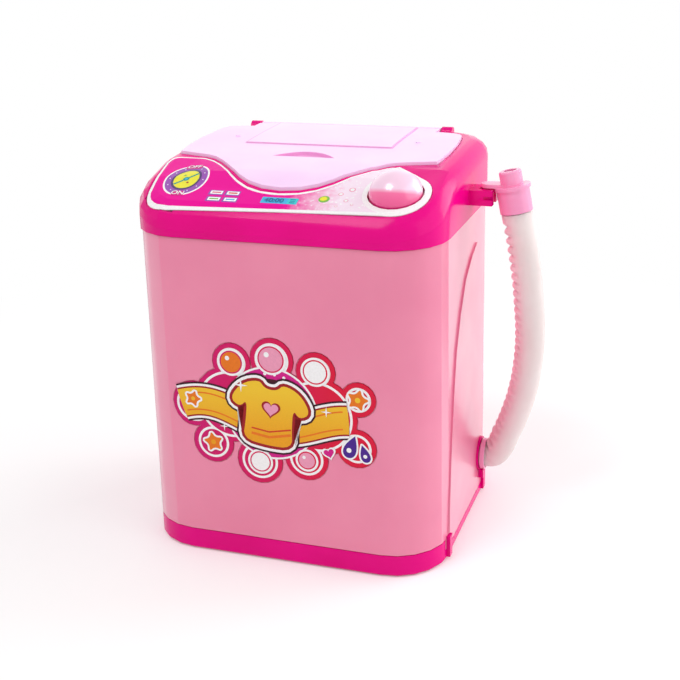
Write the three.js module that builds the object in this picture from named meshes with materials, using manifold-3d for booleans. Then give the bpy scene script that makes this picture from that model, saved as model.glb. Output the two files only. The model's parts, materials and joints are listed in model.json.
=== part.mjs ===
// A toy top-loading washing machine. A tapered casing stands on a base tray and
// carries a top frame with a sloping control panel. A lid turns on a barrel hinge
// at the rear of the frame, a domed power button sinks into the panel against its
// spring, and a motor under the tub turns a pulsator. A ribbed drain hose leaves
// the right-hand wall and clips to a fork beside the panel.
// Millimetres, X to the right, -Y to the front, +Z up. The origin is the middle of
// the footprint, on the surface that the machine stands on.

import * as THREE from 'three';
import { mergeVertices } from 'three/addons/utils/BufferGeometryUtils.js';
import Module from 'manifold-3d';

const wasm = await Module();
wasm.setup();

// Clearances
const gap = 0.3;
const runningGap = 0.4;
const overrun = 1.2;
const weldDistance = 0.0001;

// Casing: a rounded rectangle that tapers from the floor to the seam under the cap
const footWidth = 111.2;
const footDepth = 95.6;
const footCorner = 19.7;
const casingTaper = 1.8;
const casingCornerTaper = 0.8;
const casingTopWidth = footWidth - casingTaper;
const casingTopDepth = footDepth - casingTaper;
const casingTopCorner = footCorner - casingCornerTaper;
const casingTopHeight = 118;
const shellWall = 2.0;

// Base tray
const baseBandHeight = 8.1;
const sideBandHeight = 4.0;
const sideNotchInset = 16.8;
const sideNotchHalf = footDepth / 2 - sideNotchInset;
const footBevel = 0.9;
const trayFloor = 3.0;
const lugInset = 19.8;
const lugSpacing = footDepth / 2 - lugInset;
const lugLength = 3.2;
const lugHeight = 9.0;
const lugProud = 1.0;

// Corner posts and the screws that hold the tray to the casing
const postInsetX = 13.6;
const postInsetY = 13.8;
const postX = footWidth / 2 - postInsetX;
const postY = footDepth / 2 - postInsetY;
const postRadius = 3.6;
const postTop = 30;
const postRib = 1.6;
const trayBossRadius = 4.4;
const screwShank = 1.2;
const screwHead = 2.4;
const screwHeadHeight = 1.5;
const baseScrewLength = 14;
const screwDepthSpare = 2;
const screwRecess = 0.5;

// Cap of the top frame
const capOverhang = 1.2;
const capCornerOverhang = 0.5;
const capWidth = casingTopWidth + capOverhang;
const capDepth = casingTopDepth + capOverhang;
const capCorner = casingTopCorner + capCornerOverhang;
const capEdge = 6.5;
const capShell = 3.2;
const panelFrontRise = 8.7;
const panelFrontHeight = casingTopHeight + panelFrontRise;
const panelAngle = THREE.MathUtils.degToRad(20.4);
const panelRun = 27.5;
const frontY = -capDepth / 2;
const rearY = capDepth / 2;
const browY = frontY + panelRun;
const midRise = 2.1;
const crownRise = 3.2;
const rearRise = 3.7;
const skirtDepth = 4.4;
const skirtWall = 1.5;
const skirtLedge = 2.0;

// Motor under the tub
const motorRadius = 10;
const motorFlat = 7.5;
const motorLength = 22;
const motorDrop = 3.2;
const motorNoseRadius = 3;
const motorNose = 1.2;
const endCapLength = 3.5;
const shaftRadius = 1.0;
const shaftLength = 9.8;
const cradleHalfWidth = 7;
const cradleThickness = 1.6;
const cradleBossReach = 15.5;
const cradleBossDrop = 4;
const cradleScrewLength = 5;
const sealNeckRadius = 3.0;
const sealFlangeRadius = 4.6;
const sealFlange = 1.0;

// Tub and the mouth above it
const tubY = 8;
const tubClearance = 8.8;
const tubRadius = footDepth / 2 - shellWall - tubY - tubClearance;
const tubWall = 1.6;
const motorLift = 4.1;
const tubFloor = 2.0;
const motorBase = trayFloor + motorLift + cradleThickness + gap + endCapLength + gap;
const motorTopHeight = motorBase + motorLength;
const tubFloorHeight = motorTopHeight + motorDrop + tubFloor;
const tubToe = 3.0;
const tubTopRise = 11.6;
const tubTopHeight = casingTopHeight + tubTopRise;
const tubFlange = 3.6;
const tubFlangeThickness = 1.6;
const tubRibRadius = 1.5;
const tubRibLift = 12;
const tubRibTopDrop = 13.6;
const tubRibBottom = tubFloorHeight + tubRibLift;
const tubRibTop = tubTopHeight - tubRibTopDrop;
const tubRibCount = 6;
const earStandoff = 7;
const earReach = tubRadius + earStandoff;
const earRadius = 3.8;
const earAngles = [-12, 60, 120, 192];
const bossRadius = 2.8;
const tubScrewLength = 6;
const smallShank = 1.0;
const smallHead = 2.1;
const smallHeadHeight = 1.4;

// Lid and its barrel hinge
const lidCentreX = -2;
const lidSideInset = 6.3;
const lidHalfWidth = capWidth / 2 - lidSideInset;
const lidProud = 1.0;
const lidThickness = 2.2;
const lidSideBow = 1.2;
const lidShoulderRun = 12;
const lidShoulderY = browY + lidShoulderRun;
const lidBulgeInset = 15.2;
const lidBulgeY = frontY + lidBulgeInset;
const lidBulgeEndInset = 13;
const lidBulgeEndX = lidHalfWidth - lidBulgeEndInset;
const lidBulgeEndRun = 9;
const lidBulgeEndY = browY + lidBulgeEndRun;
const hingeInset = 4.1;
const hingeY = rearY - hingeInset;
const hingeEndInset = 12.6;
const hingeHalf = lidHalfWidth - hingeEndInset;
const lidRearRun = 16.4;
const lidNotchRun = 8.9;
const lidRearY = hingeY - lidRearRun;
const lidNotchX = hingeHalf;
const lidNotchY = hingeY - lidNotchRun;
const hingeRadius = 2.0;
const pinRadius = 1.2;
const pinLength = 2.6;
const beamSpare = 4.4;
const beamHalf = hingeHalf + beamSpare;
const beamDepth = 6.2;
const beamDrop = 5.4;
const lidPanelHalf = 27.8;
const lidPanelRun = 37.8;
const lidPanelRearRun = 3;
const lidPanelFrontY = hingeY - lidPanelRun;
const lidPanelRearY = hingeY - lidPanelRearRun;
const lidPanelProud = 0.4;
const lidRibClearance = 1.4;
const lidRibWall = 1.2;
const lidRibDrop = 2.4;
const fingerHalf = 11.4;
const fingerRun = 10.6;
const fingerFrontY = browY + fingerRun;
const fingerDepthY = 6.2;
const fingerDeep = 1.2;
const studInset = 14;
const studRun = 28.4;
const studX = lidHalfWidth - studInset;
const studY = hingeY - studRun;
const studRadius = 1.1;
const studProud = 0.5;

// Power button and its switch, along the panel's normal
const buttonInsetX = 17.6;
const buttonInsetY = 16.7;
const buttonX = capWidth / 2 - buttonInsetX;
const buttonY = frontY + buttonInsetY;
const buttonRadius = 9.1;
const buttonDome = 5.2;
const buttonEdge = 0.6;
const buttonSkirt = 1.6;
const buttonCeiling = 0.4;
const buttonTabReach = 10.7;
const buttonTabHalf = 3;
const buttonTabThickness = 1.2;
const buttonTabDrop = 1.0;
const buttonTravel = 2.0;
const stemRadius = 1.9;
const stemEnd = 9.0;
const holderTop = 10.0;
const holderThickness = 1.6;
const holderHalfLength = 14.8;
const holderHalfWidth = 5.6;
const holderBossX = 12.1;
const holderBossRadius = 2.4;
const holderScrewLength = 6;
const plungerHalf = 1.4;
const plungerLength = 6.2;
const switchHalf = 4.2;
const switchHeight = 8.6;
const switchWall = 1.2;
const springRadius = 3.5;
const springWire = 0.35;
const springTurns = 5;

// Stickers
const stickerThickness = 0.3;
const stickerProud = 0.1;
const stickerMargin = 0.3;
const panelStickerInset = 4.3;
const panelStickerFrontInset = 3.1;
const panelStickerLeft = capWidth / 2 - panelStickerInset;
const panelStickerBottomY = frontY + panelStickerFrontInset;
const panelStickerRim = 2.6;
const panelStickerLidGap = 2.0;
const frontStickerProud = 0.2;

// Pulsator
const pulsatorClearance = 10.5;
const pulsatorRadius = tubRadius - pulsatorClearance;
const pulsatorDisc = 2.0;
const pulsatorHeight = 6.4;
const pulsatorLift = 2.0;
const pulsatorHubRadius = 4.2;
const vaneCount = 4;
const vaneWidth = 1.7;
const vaneInner = 3;
const vaneEdge = 1.3;
const vaneBendShare = 0.6;
const vaneOuter = pulsatorRadius - vaneEdge;
const vaneSweep = 4.5;

// Drain: nipple, elbow, outlet, ring and hose
const drainInset = 6.6;
const drainReach = tubRadius - drainInset;
const drainShare = 4 / 7;
const hoseY = tubY + drainReach * drainShare;
const hoseHeight = 19.2;
const nippleBore = 2.2;
const nippleWall = 1.2;
const nippleDrop = 5;
const elbowWall = 1.5;
const elbowBore = 3.0;
const hoseRadius = 5.4;
const cuffRadius = 4.9;
const cuffFlare = 2.2;
const hoseWall = 1.0;
const hoseInset = 6.7;
const hoseStartX = footWidth / 2 - hoseInset;
const wallHole = 6.1;
const outletRadius = 6.7;
const outletThickness = 1.0;
const outletLugDrop = 9.8;
const outletLugHalf = 2.0;
const outletLugThickness = 2.2;
const ringThickness = 1.8;
const ringRadius = 6.1;
const ribCount = 36;
const ribDepth = 1.0;

// Hose end fitting and the fork that holds it
const forkStandoff = 8.1;
const forkReach = capWidth / 2 + forkStandoff;
const fittingStandoff = 7.8;
const fittingRise = 2.4;
const fittingX = forkReach + fittingStandoff;
const fittingY = 3.5;
const fittingHeight = casingTopHeight + fittingRise;
const fittingLean = 11;
const collarRadius = 5.7;
const collarLength = 9.6;
const collarRim = 0.6;
const collarRimHeight = 1.2;
const nozzleRadius = 3.9;
const nozzleLength = 5.2;
const nozzleEdge = 0.5;
const nozzleBore = 2.3;
const forkHalfWidth = 5;
const forkBottomRise = 5.1;
const forkTopRise = 10.4;
const forkBottom = casingTopHeight + forkBottomRise;
const forkTop = casingTopHeight + forkTopRise;
const forkSlotHalf = 1.9;
const forkSlotDepth = 5.2;
const forkSlotX = forkReach - forkSlotDepth;
const forkGrooveHeight = 1.2;
const forkGrooveDepth = 0.8;
const forkGrooveInset = 3;
const forkGrooveX = forkReach - forkGrooveInset;
const tabInset = 4.8;
const tabX = forkReach - tabInset;
const tabHalfWidth = 3;
const tabThickness = 1.3;
const tabClearance = 0.5;
const pegInset = 2.8;
const pegX = forkReach - pegInset;
const pegRadius = 1.4;
const pegLength = 3.6;

// Battery compartment in the tray
const cellRadius = 7.1;
const cellLength = 49.2;
const cellNubRadius = 2.7;
const cellNub = 1.3;
const cellClearance = 1.0;
const cellPitch = cellRadius * 2 + cellClearance;
const compartmentInset = 20.8;
const compartmentY = compartmentInset - footDepth / 2;
const cellEndSpace = 3.9;
const cellSideSpace = 0.7;
const compartmentHalfLength = cellLength / 2 + cellEndSpace;
const compartmentHalfWidth = cellPitch / 2 + cellRadius + cellSideSpace;
const compartmentWall = 1.6;
const doorThickness = 1.6;
const doorRecess = 0.4;
const cellTopSpace = 1.7;
const compartmentTop = doorRecess + doorThickness + gap + cellRadius * 2 + cellTopSpace;
const doorEarLength = 8.9;
const doorEarReach = compartmentHalfLength + doorEarLength;
const doorEarHalf = 4.6;
const doorBossRadius = 3.4;
const doorBossRun = 4.7;
const doorBossX = compartmentHalfLength + doorBossRun;
const doorScrewLength = 7;
const doorHeadHeight = 0.6;
const doorBossTop = 12;
const contactThickness = 0.5;
const contactHalf = 4.6;
const contactTabHalf = 1.4;
const contactTabLift = 4.6;
const contactTabReach = 4.2;
const cellSpringRadius = 2.6;
const cellSpringWire = 0.4;
const cellSpringTurns = 3;

// Wires
const wireRadius = 0.7;
const terminalSpread = 2.3;
const terminalSide = -0.9;
const terminalDrop = 1.36;
const motorTerminalX = 8.6;
const motorTerminalDrop = 1.3;

// Moulded fin on the casing's sides
const finProud = 0.6;
const finBottom = 10;
const finTopDrop = 12;
const finTop = casingTopHeight - finTopDrop;

// Facets
const cornerSteps = 5;
const sideSteps = 4;
const edgeSteps = 4;
const roundSides = 20;
const smallSides = 8;
const tubSides = 28;
const domeSteps = 4;
const wireSides = 5;

// Heights and places that follow from the sizes above
const tubOuter = tubRadius + tubWall;
const browHeight = panelFrontHeight + panelRun * Math.tan(panelAngle);
const bodySide = footWidth / 2;

const crownShares = [0.2, 0.42, 0.66, 0.97];
const crownPlaceShare = 0.6;
const midPlaceShare = 0.3;
const topCurve = new THREE.SplineCurve([
  new THREE.Vector2(frontY, panelFrontHeight),
  new THREE.Vector2(frontY + panelRun / 3, panelFrontHeight + (browHeight - panelFrontHeight) / 3),
  new THREE.Vector2(browY - panelRun / 3, browHeight - (browHeight - panelFrontHeight) / 3),
  new THREE.Vector2(browY, browHeight),
  new THREE.Vector2(browY + (rearY - browY) * midPlaceShare, browHeight + midRise),
  new THREE.Vector2(browY + (rearY - browY) * crownPlaceShare, browHeight + crownRise),
  new THREE.Vector2(rearY, browHeight + rearRise),
]);
const topPoints = topCurve.getPoints(48);

// Height of the cap's upper surface, before its edge rounding, at a distance y
function topHeight(y) {
  const after = topPoints.findIndex((point) => point.x >= y);
  if (after < 0) return topPoints[topPoints.length - 1].y;
  if (after === 0) return topPoints[0].y;
  const low = topPoints[after - 1];
  const high = topPoints[after];
  return low.y + ((high.y - low.y) * (y - low.x)) / (high.x - low.x);
}

function signedVolume(positions, index) {
  const a = new THREE.Vector3();
  const b = new THREE.Vector3();
  const c = new THREE.Vector3();
  let sum = 0;
  for (let i = 0; i < index.length; i += 3) {
    a.fromArray(positions, index[i] * 3);
    b.fromArray(positions, index[i + 1] * 3);
    c.fromArray(positions, index[i + 2] * 3);
    sum += a.dot(b.cross(c));
  }
  return sum;
}

// A closed geometry as a solid, its vertices welded and its faces turned outwards
function toSolid(geometry) {
  const bare = geometry.clone();
  bare.deleteAttribute('normal');
  bare.deleteAttribute('uv');
  const welded = mergeVertices(bare, weldDistance);
  const positions = new Float32Array(welded.attributes.position.array);
  const raw = welded.index.array;
  let faces = [];
  for (let i = 0; i < raw.length; i += 3) {
    const [a, b, c] = [raw[i], raw[i + 1], raw[i + 2]];
    if (a !== b && b !== c && c !== a) faces.push(a, b, c);
  }
  if (signedVolume(positions, faces) < 0) faces = faces.reverse();
  return new wasm.Manifold(new wasm.Mesh({
    numProp: 3,
    vertProperties: positions,
    triVerts: new Uint32Array(faces),
  }));
}

function toGeometry(solid) {
  const mesh = solid.getMesh();
  const geometry = new THREE.BufferGeometry();
  geometry.setAttribute('position', new THREE.BufferAttribute(mesh.vertProperties, 3));
  geometry.setIndex(new THREE.BufferAttribute(mesh.triVerts, 1));
  geometry.computeVertexNormals();
  return geometry;
}

function join(solids) {
  return solids.reduce((whole, next) => whole.add(next));
}

function cut(solid, cutters) {
  return cutters.reduce((whole, next) => whole.subtract(next), solid);
}

function block(x0, x1, y0, y1, z0, z1, frame = null) {
  const box = new THREE.BoxGeometry(x1 - x0, y1 - y0, z1 - z0);
  box.translate((x0 + x1) / 2, (y0 + y1) / 2, (z0 + z1) / 2);
  if (frame) box.applyMatrix4(frame);
  return toSolid(box);
}

// Upright cylinder between two heights
function drum(radius, z0, z1, x = 0, y = 0, sides = roundSides, frame = null) {
  const cylinder = new THREE.CylinderGeometry(radius, radius, z1 - z0, sides);
  cylinder.rotateX(Math.PI / 2);
  cylinder.translate(x, y, (z0 + z1) / 2);
  if (frame) cylinder.applyMatrix4(frame);
  return toSolid(cylinder);
}

// Cylinder along X between two places
function rod(radius, x0, x1, y, z, sides = roundSides) {
  const cylinder = new THREE.CylinderGeometry(radius, radius, x1 - x0, sides);
  cylinder.rotateZ(Math.PI / 2);
  cylinder.translate((x0 + x1) / 2, y, z);
  return toSolid(cylinder);
}

// A profile of [radius, height] pairs revolved about the Z axis
function turned(profile, sides = roundSides, x = 0, y = 0) {
  const lathe = new THREE.LatheGeometry(profile.map(([r, z]) => new THREE.Vector2(r, z)), sides);
  lathe.rotateX(Math.PI / 2);
  lathe.translate(x, y, 0);
  return toSolid(lathe);
}

// A shape in XY raised between two heights
function prism(shape, z0, z1, curveSegments = 8) {
  const solid = new THREE.ExtrudeGeometry(shape, {
    depth: z1 - z0,
    bevelEnabled: false,
    curveSegments,
  });
  solid.translate(0, 0, z0);
  return toSolid(solid);
}

// A shape in YZ drawn out along X
function slabX(shape, x0, x1, curveSegments = 8) {
  const solid = new THREE.ExtrudeGeometry(shape, {
    depth: x1 - x0,
    bevelEnabled: false,
    curveSegments,
  });
  solid.rotateZ(Math.PI / 2);
  solid.rotateY(Math.PI / 2);
  solid.translate(x0, 0, 0);
  return toSolid(solid);
}

// A skin through rings of equal count, capped at both ends or closed on itself
function loft(rings, closed = false) {
  const count = rings[0].length;
  const positions = rings.flat().flatMap((point) => [point.x, point.y, point.z]);
  const index = [];
  const spans = closed ? rings.length : rings.length - 1;
  for (let r = 0; r < spans; r += 1) {
    const low = r * count;
    const high = ((r + 1) % rings.length) * count;
    for (let i = 0; i < count; i += 1) {
      const j = (i + 1) % count;
      index.push(low + i, low + j, high + j, low + i, high + j, high + i);
    }
  }
  if (!closed) {
    [rings[0], rings[rings.length - 1]].forEach((ring, end) => {
      const middle = ring.reduce((sum, point) => sum.add(point), new THREE.Vector3());
      middle.divideScalar(count);
      const hub = positions.length / 3;
      const first = end === 0 ? 0 : (rings.length - 1) * count;
      positions.push(middle.x, middle.y, middle.z);
      for (let i = 0; i < count; i += 1) {
        const j = (i + 1) % count;
        if (end === 0) index.push(hub, first + j, first + i);
        else index.push(hub, first + i, first + j);
      }
    });
  }
  const geometry = new THREE.BufferGeometry();
  geometry.setAttribute('position', new THREE.Float32BufferAttribute(positions, 3));
  geometry.setIndex(index);
  return geometry;
}

// Points of a rounded rectangle, anticlockwise, its sides divided so that it can bend
function roundedOutline(width, depth, corner) {
  const least = gap;
  const radius = Math.max(corner, least);
  const hx = width / 2 - radius;
  const hy = depth / 2 - radius;
  const centres = [[hx, hy], [-hx, hy], [-hx, -hy], [hx, -hy]];
  const points = [];
  centres.forEach(([cx, cy], quarter) => {
    for (let s = 0; s <= cornerSteps; s += 1) {
      const angle = (quarter + s / cornerSteps) * (Math.PI / 2);
      points.push([cx + radius * Math.cos(angle), cy + radius * Math.sin(angle)]);
    }
    const [nx, ny] = centres[(quarter + 1) % 4];
    const angle = (quarter + 1) * (Math.PI / 2);
    const from = points[points.length - 1];
    const to = [nx + radius * Math.cos(angle), ny + radius * Math.sin(angle)];
    for (let s = 1; s < sideSteps; s += 1) {
      const share = s / sideSteps;
      points.push([from[0] + (to[0] - from[0]) * share, from[1] + (to[1] - from[1]) * share]);
    }
  });
  return points;
}

// One level ring of the tapered body, drawn in by an inset
function bodyRing(height, inset) {
  const share = height / casingTopHeight;
  const width = footWidth + (casingTopWidth - footWidth) * share - 2 * inset;
  const depth = footDepth + (casingTopDepth - footDepth) * share - 2 * inset;
  const corner = footCorner + (casingTopCorner - footCorner) * share - inset;
  return roundedOutline(width, depth, corner).map(([x, y]) => new THREE.Vector3(x, y, height));
}

function bodyForm(levels) {
  return toSolid(loft(levels.map(([height, inset]) => bodyRing(height, inset))));
}

// The cap's form: upright sides, a rounded edge and the sloping, crowned top
function capForm(inset, lowered, edge, bottom) {
  const ring = (extra, height) => {
    const width = capWidth - 2 * (inset + extra);
    const depth = capDepth - 2 * (inset + extra);
    return roundedOutline(width, depth, capCorner - inset - extra)
      .map(([x, y]) => new THREE.Vector3(x, y, height(y)));
  };
  const rings = [ring(0, () => bottom)];
  for (let k = 0; k <= edgeSteps; k += 1) {
    const turn = (k / edgeSteps) * (Math.PI / 2);
    const fall = lowered + edge * (1 - Math.sin(turn));
    rings.push(ring(edge * (1 - Math.cos(turn)), (y) => topHeight(y) - fall));
  }
  crownShares.forEach((share) => {
    rings.push(ring(edge + share * (capDepth / 2 - inset - edge), (y) => topHeight(y) - lowered));
  });
  return toSolid(loft(rings));
}

// A wire or spring: a round section swept along points with their directions
function sweptRings(points, radius, sides) {
  return points.map((point, i) => {
    const before = points[Math.max(i - 1, 0)];
    const after = points[Math.min(i + 1, points.length - 1)];
    const along = after.clone().sub(before).normalize();
    const side = new THREE.Vector3(0, 0, 1).cross(along).normalize();
    const rise = along.clone().cross(side);
    return Array.from({ length: sides }, (unused, k) => {
      const angle = (k / sides) * Math.PI * 2;
      return point.clone()
        .addScaledVector(side, radius * Math.cos(angle))
        .addScaledVector(rise, radius * Math.sin(angle));
    });
  });
}

// Points of a coil about Z from one height to another
function coilPoints(radiusLow, radiusHigh, z0, z1, turns) {
  const steps = turns * 8;
  return Array.from({ length: steps + 1 }, (unused, i) => {
    const share = i / steps;
    const angle = share * turns * Math.PI * 2;
    const radius = radiusLow + (radiusHigh - radiusLow) * share;
    return new THREE.Vector3(
      radius * Math.cos(angle),
      radius * Math.sin(angle),
      z0 + (z1 - z0) * share,
    );
  });
}

const group = new THREE.Group();

function plastic(color, roughness = 0.35) {
  return new THREE.MeshStandardMaterial({ color, roughness, metalness: 0 });
}

function metal(color, roughness = 0.35) {
  return new THREE.MeshStandardMaterial({ color, roughness, metalness: 1 });
}

const hotPink = plastic('#e8188c');
const midPink = plastic('#ea8fb2');
const palePink = plastic('#f9def5');
const lightPink = plastic('#f78fb8');
const translucent = plastic('#ecd8dc', 0.4);
const white = plastic('#f1eef0', 0.5);
const rubber = plastic('#3a383b', 0.8);
const black = plastic('#242226', 0.5);
const printed = plastic('#c63a9b', 0.4);
const steel = metal('#b9bcc0');
const brass = metal('#c8a24b');
const copperRed = plastic('#b5312b', 0.5);
const cellGreen = plastic('#2f6a4c', 0.4);

function piece(name, solid, material, parent = group) {
  const mesh = new THREE.Mesh(toGeometry(solid), material.clone());
  mesh.name = name;
  parent.add(mesh);
  return mesh;
}

// A round-headed screw that points up from its head, about a place on a local Z axis
function screw(shank, head, headHeight, length, z, x = 0, y = 0, frame = null) {
  const shaft = drum(shank, z - gap, z + length, x, y, smallSides, frame);
  return join([shaft, drum(head, z - headHeight, z, x, y, smallSides, frame)]);
}

// The four corners of the tray, posts and base screws
const corners = [[1, 1], [-1, 1], [-1, -1], [1, -1]];
const postBottom = baseBandHeight + gap;

// Base tray
const cellY = [compartmentY - cellPitch / 2, compartmentY + cellPitch / 2];
const doorTop = doorRecess + doorThickness;
const ledgeHeight = doorTop + gap;
const doorHalfLength = compartmentHalfLength + compartmentWall - gap;
const doorHalfWidth = compartmentHalfWidth + compartmentWall - gap;
const recessSpare = gap * 2;

function doorOutline(z0, z1, extra) {
  return join([
    block(
      -doorHalfLength - extra,
      doorHalfLength + extra,
      compartmentY - doorHalfWidth - extra,
      compartmentY + doorHalfWidth + extra,
      z0,
      z1,
    ),
    block(
      0,
      doorEarReach + extra,
      compartmentY - doorEarHalf - extra,
      compartmentY + doorEarHalf + extra,
      z0,
      z1,
    ),
  ]);
}

const traySkin = bodyForm([[0, footBevel], [footBevel, 0], [baseBandHeight, 0]]);
const trayHollow = bodyForm([[trayFloor, shellWall], [baseBandHeight + overrun, shellWall]]);
const chamberWall = compartmentHalfLength + compartmentWall;
const chamberDeep = compartmentHalfWidth + compartmentWall;
const sideLugs = [1, -1].flatMap((sx) => [1, -1].map((sy) => {
  const outside = sx * (bodySide + lugProud);
  const inside = sx * (bodySide - shellWall);
  return block(
    Math.min(outside, inside),
    Math.max(outside, inside),
    sy * lugSpacing - lugLength / 2,
    sy * lugSpacing + lugLength / 2,
    footBevel,
    lugHeight,
  );
}));
const trayBosses = corners.map(([sx, sy]) => (
  drum(trayBossRadius, trayFloor / 2, baseBandHeight, sx * postX, sy * postY, roundSides)
));
const lugPocket = gap;

let baseTray = traySkin.subtract(trayHollow);
baseTray = cut(baseTray, [1, -1].map((sx) => block(
  Math.min(sx * (bodySide - shellWall - overrun), sx * (bodySide + overrun)),
  Math.max(sx * (bodySide - shellWall - overrun), sx * (bodySide + overrun)),
  -sideNotchHalf,
  sideNotchHalf,
  sideBandHeight,
  baseBandHeight + overrun,
)));
baseTray = join([
  baseTray,
  ...trayBosses,
  block(
    -chamberWall,
    chamberWall,
    compartmentY - chamberDeep,
    compartmentY + chamberDeep,
    trayFloor / 2,
    compartmentTop + compartmentWall,
  ),
  drum(doorBossRadius, trayFloor / 2, doorBossTop, doorBossX, compartmentY),
  ...sideLugs,
]);
const chamber = block(
  -compartmentHalfLength,
  compartmentHalfLength,
  compartmentY - compartmentHalfWidth,
  compartmentY + compartmentHalfWidth,
  -overrun,
  compartmentTop,
);
const headSeat = screwRecess + screwHeadHeight + gap;
const trayScrewHoles = corners.flatMap(([sx, sy]) => [
  drum(screwShank + gap, -overrun, baseBandHeight + overrun, sx * postX, sy * postY, smallSides),
  drum(screwHead + gap, -overrun, headSeat, sx * postX, sy * postY, roundSides),
]);
const contactSlots = [
  [cellY[0], 1],
  [cellY[1], 1],
].map(([y, side]) => block(
  side * compartmentHalfLength - overrun,
  side * (chamberWall + overrun),
  y - contactTabHalf - gap,
  y + contactTabHalf + gap,
  doorTop + gap + cellRadius + contactTabLift - gap,
  doorTop + gap + cellRadius + contactTabLift + contactThickness + gap,
));
baseTray = cut(baseTray, [
  chamber,
  doorOutline(-overrun, ledgeHeight, recessSpare / 2),
  ...trayScrewHoles,
  drum(smallShank + gap, -overrun, ledgeHeight + doorScrewLength, doorBossX, compartmentY, smallSides),
  ...contactSlots,
]);
piece('base_tray', baseTray, hotPink);

// Battery door, its screw and the tray's four screws
const doorHeadSeat = doorRecess + doorHeadHeight + gap;
const batteryDoor = cut(doorOutline(doorRecess, doorTop, 0), [
  drum(smallShank + gap, -overrun, doorTop + overrun, doorBossX, compartmentY, smallSides),
  drum(smallHead + gap, -overrun, doorHeadSeat, doorBossX, compartmentY, smallSides),
]);
piece('battery_door', batteryDoor, hotPink);
const doorScrewZ = doorHeadSeat - gap;
piece('battery_door_screw', join([
  drum(
    smallShank,
    doorScrewZ - doorHeadHeight / 2,
    doorScrewZ + doorScrewLength,
    doorBossX,
    compartmentY,
    smallSides,
  ),
  drum(smallHead, doorScrewZ - doorHeadHeight, doorScrewZ, doorBossX, compartmentY, smallSides),
]), steel);
corners.forEach(([sx, sy], i) => {
  const z = headSeat - gap;
  const x = sx * postX;
  const y = sy * postY;
  piece(
    `base_screw_${i + 1}`,
    screw(screwShank, screwHead, screwHeadHeight, baseScrewLength, z, x, y),
    steel,
  );
});

// Outer casing with its corner posts and the moulded fin on both sides
const casingBottom = sideBandHeight + gap;
const casingTop = casingTopHeight - gap;
const casingSkin = bodyForm([[casingBottom, 0], [casingTop, 0]]);
const casingHollow = bodyForm([[0, shellWall], [casingTopHeight + overrun, shellWall]]);
const finSkin = bodyForm([[casingBottom, -finProud], [casingTop, -finProud]]);
// Outline of the fin in shares of its height and of the casing's depth
const finLeftShares = [
  [-0.300, 0], [-0.292, 0.12], [-0.275, 0.27], [-0.255, 0.40], [-0.228, 0.54],
  [-0.190, 0.68], [-0.130, 0.80], [-0.045, 0.91], [0.055, 0.97], [0.140, 1],
];
const finRightShares = [
  [0.030, 0.90], [-0.035, 0.80], [-0.052, 0.66], [-0.020, 0.56], [0.035, 0.44],
  [0.100, 0.33], [0.175, 0.23], [0.245, 0.13], [0.300, 0],
];
const finShape = new THREE.Shape(finLeftShares.concat(finRightShares).map(([y, z]) => (
  new THREE.Vector2(y * footDepth, finBottom + z * (finTop - finBottom))
)));
const finPlate = slabX(finShape, -bodySide - finProud * 2, bodySide + finProud * 2);
const fins = finPlate.intersect(finSkin).subtract(casingSkin.intersect(casingHollow));
const posts = corners.flatMap(([sx, sy]) => {
  const reach = footCorner;
  const frame = new THREE.Matrix4().makeTranslation(sx * postX, sy * postY, 0);
  frame.multiply(new THREE.Matrix4().makeRotationZ(Math.atan2(sy, sx)));
  return [
    drum(postRadius, postBottom, postTop, sx * postX, sy * postY),
    block(0, reach, -postRib / 2, postRib / 2, postBottom, postTop, frame),
  ];
});
const wallX = bodySide - ((footWidth - casingTopWidth) / 2) * (hoseHeight / casingTopHeight);
const finSeatX = wallX + gap / 2;
let casing = casingSkin.subtract(casingHollow).add(join(posts).intersect(casingSkin));
casing = casing.add(fins);
const bandCutDepth = footDepth;
casing = cut(casing, [
  block(-footWidth, footWidth, sideNotchHalf - gap, bandCutDepth, 0, baseBandHeight + gap),
  block(-footWidth, footWidth, -bandCutDepth, gap - sideNotchHalf, 0, baseBandHeight + gap),
  ...corners.map(([sx, sy]) => (
    drum(
      screwShank + gap,
      0,
      headSeat + baseScrewLength + screwDepthSpare,
      sx * postX,
      sy * postY,
      smallSides,
    )
  )),
  ...[1, -1].flatMap((sx) => [1, -1].map((sy) => block(
    Math.min(sx * (bodySide - shellWall - overrun), sx * (bodySide + lugProud + overrun)),
    Math.max(sx * (bodySide - shellWall - overrun), sx * (bodySide + lugProud + overrun)),
    sy * lugSpacing - lugLength / 2 - gap,
    sy * lugSpacing + lugLength / 2 + gap,
    0,
    lugHeight + lugPocket,
  ))),
  rod(wallHole, bodySide - shellWall * 3, bodySide + overrun * 2, hoseY, hoseHeight),
  rod(outletRadius + gap, finSeatX, bodySide + overrun * 2, hoseY, hoseHeight),
  block(
    finSeatX,
    bodySide + overrun * 2,
    hoseY - outletLugHalf - gap,
    hoseY + outletLugHalf + gap,
    hoseHeight - outletLugDrop - gap,
    hoseHeight,
  ),
]);

// Front sticker: a scalloped field of round lobes, in shares of its width and height
const stickerCentreX = -2.6;
const stickerDrop = 60.5;
const stickerCentreZ = casingTopHeight - stickerDrop;
const stickerHalfWidth = 41.5;
const stickerHalfHeight = 28;
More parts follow.
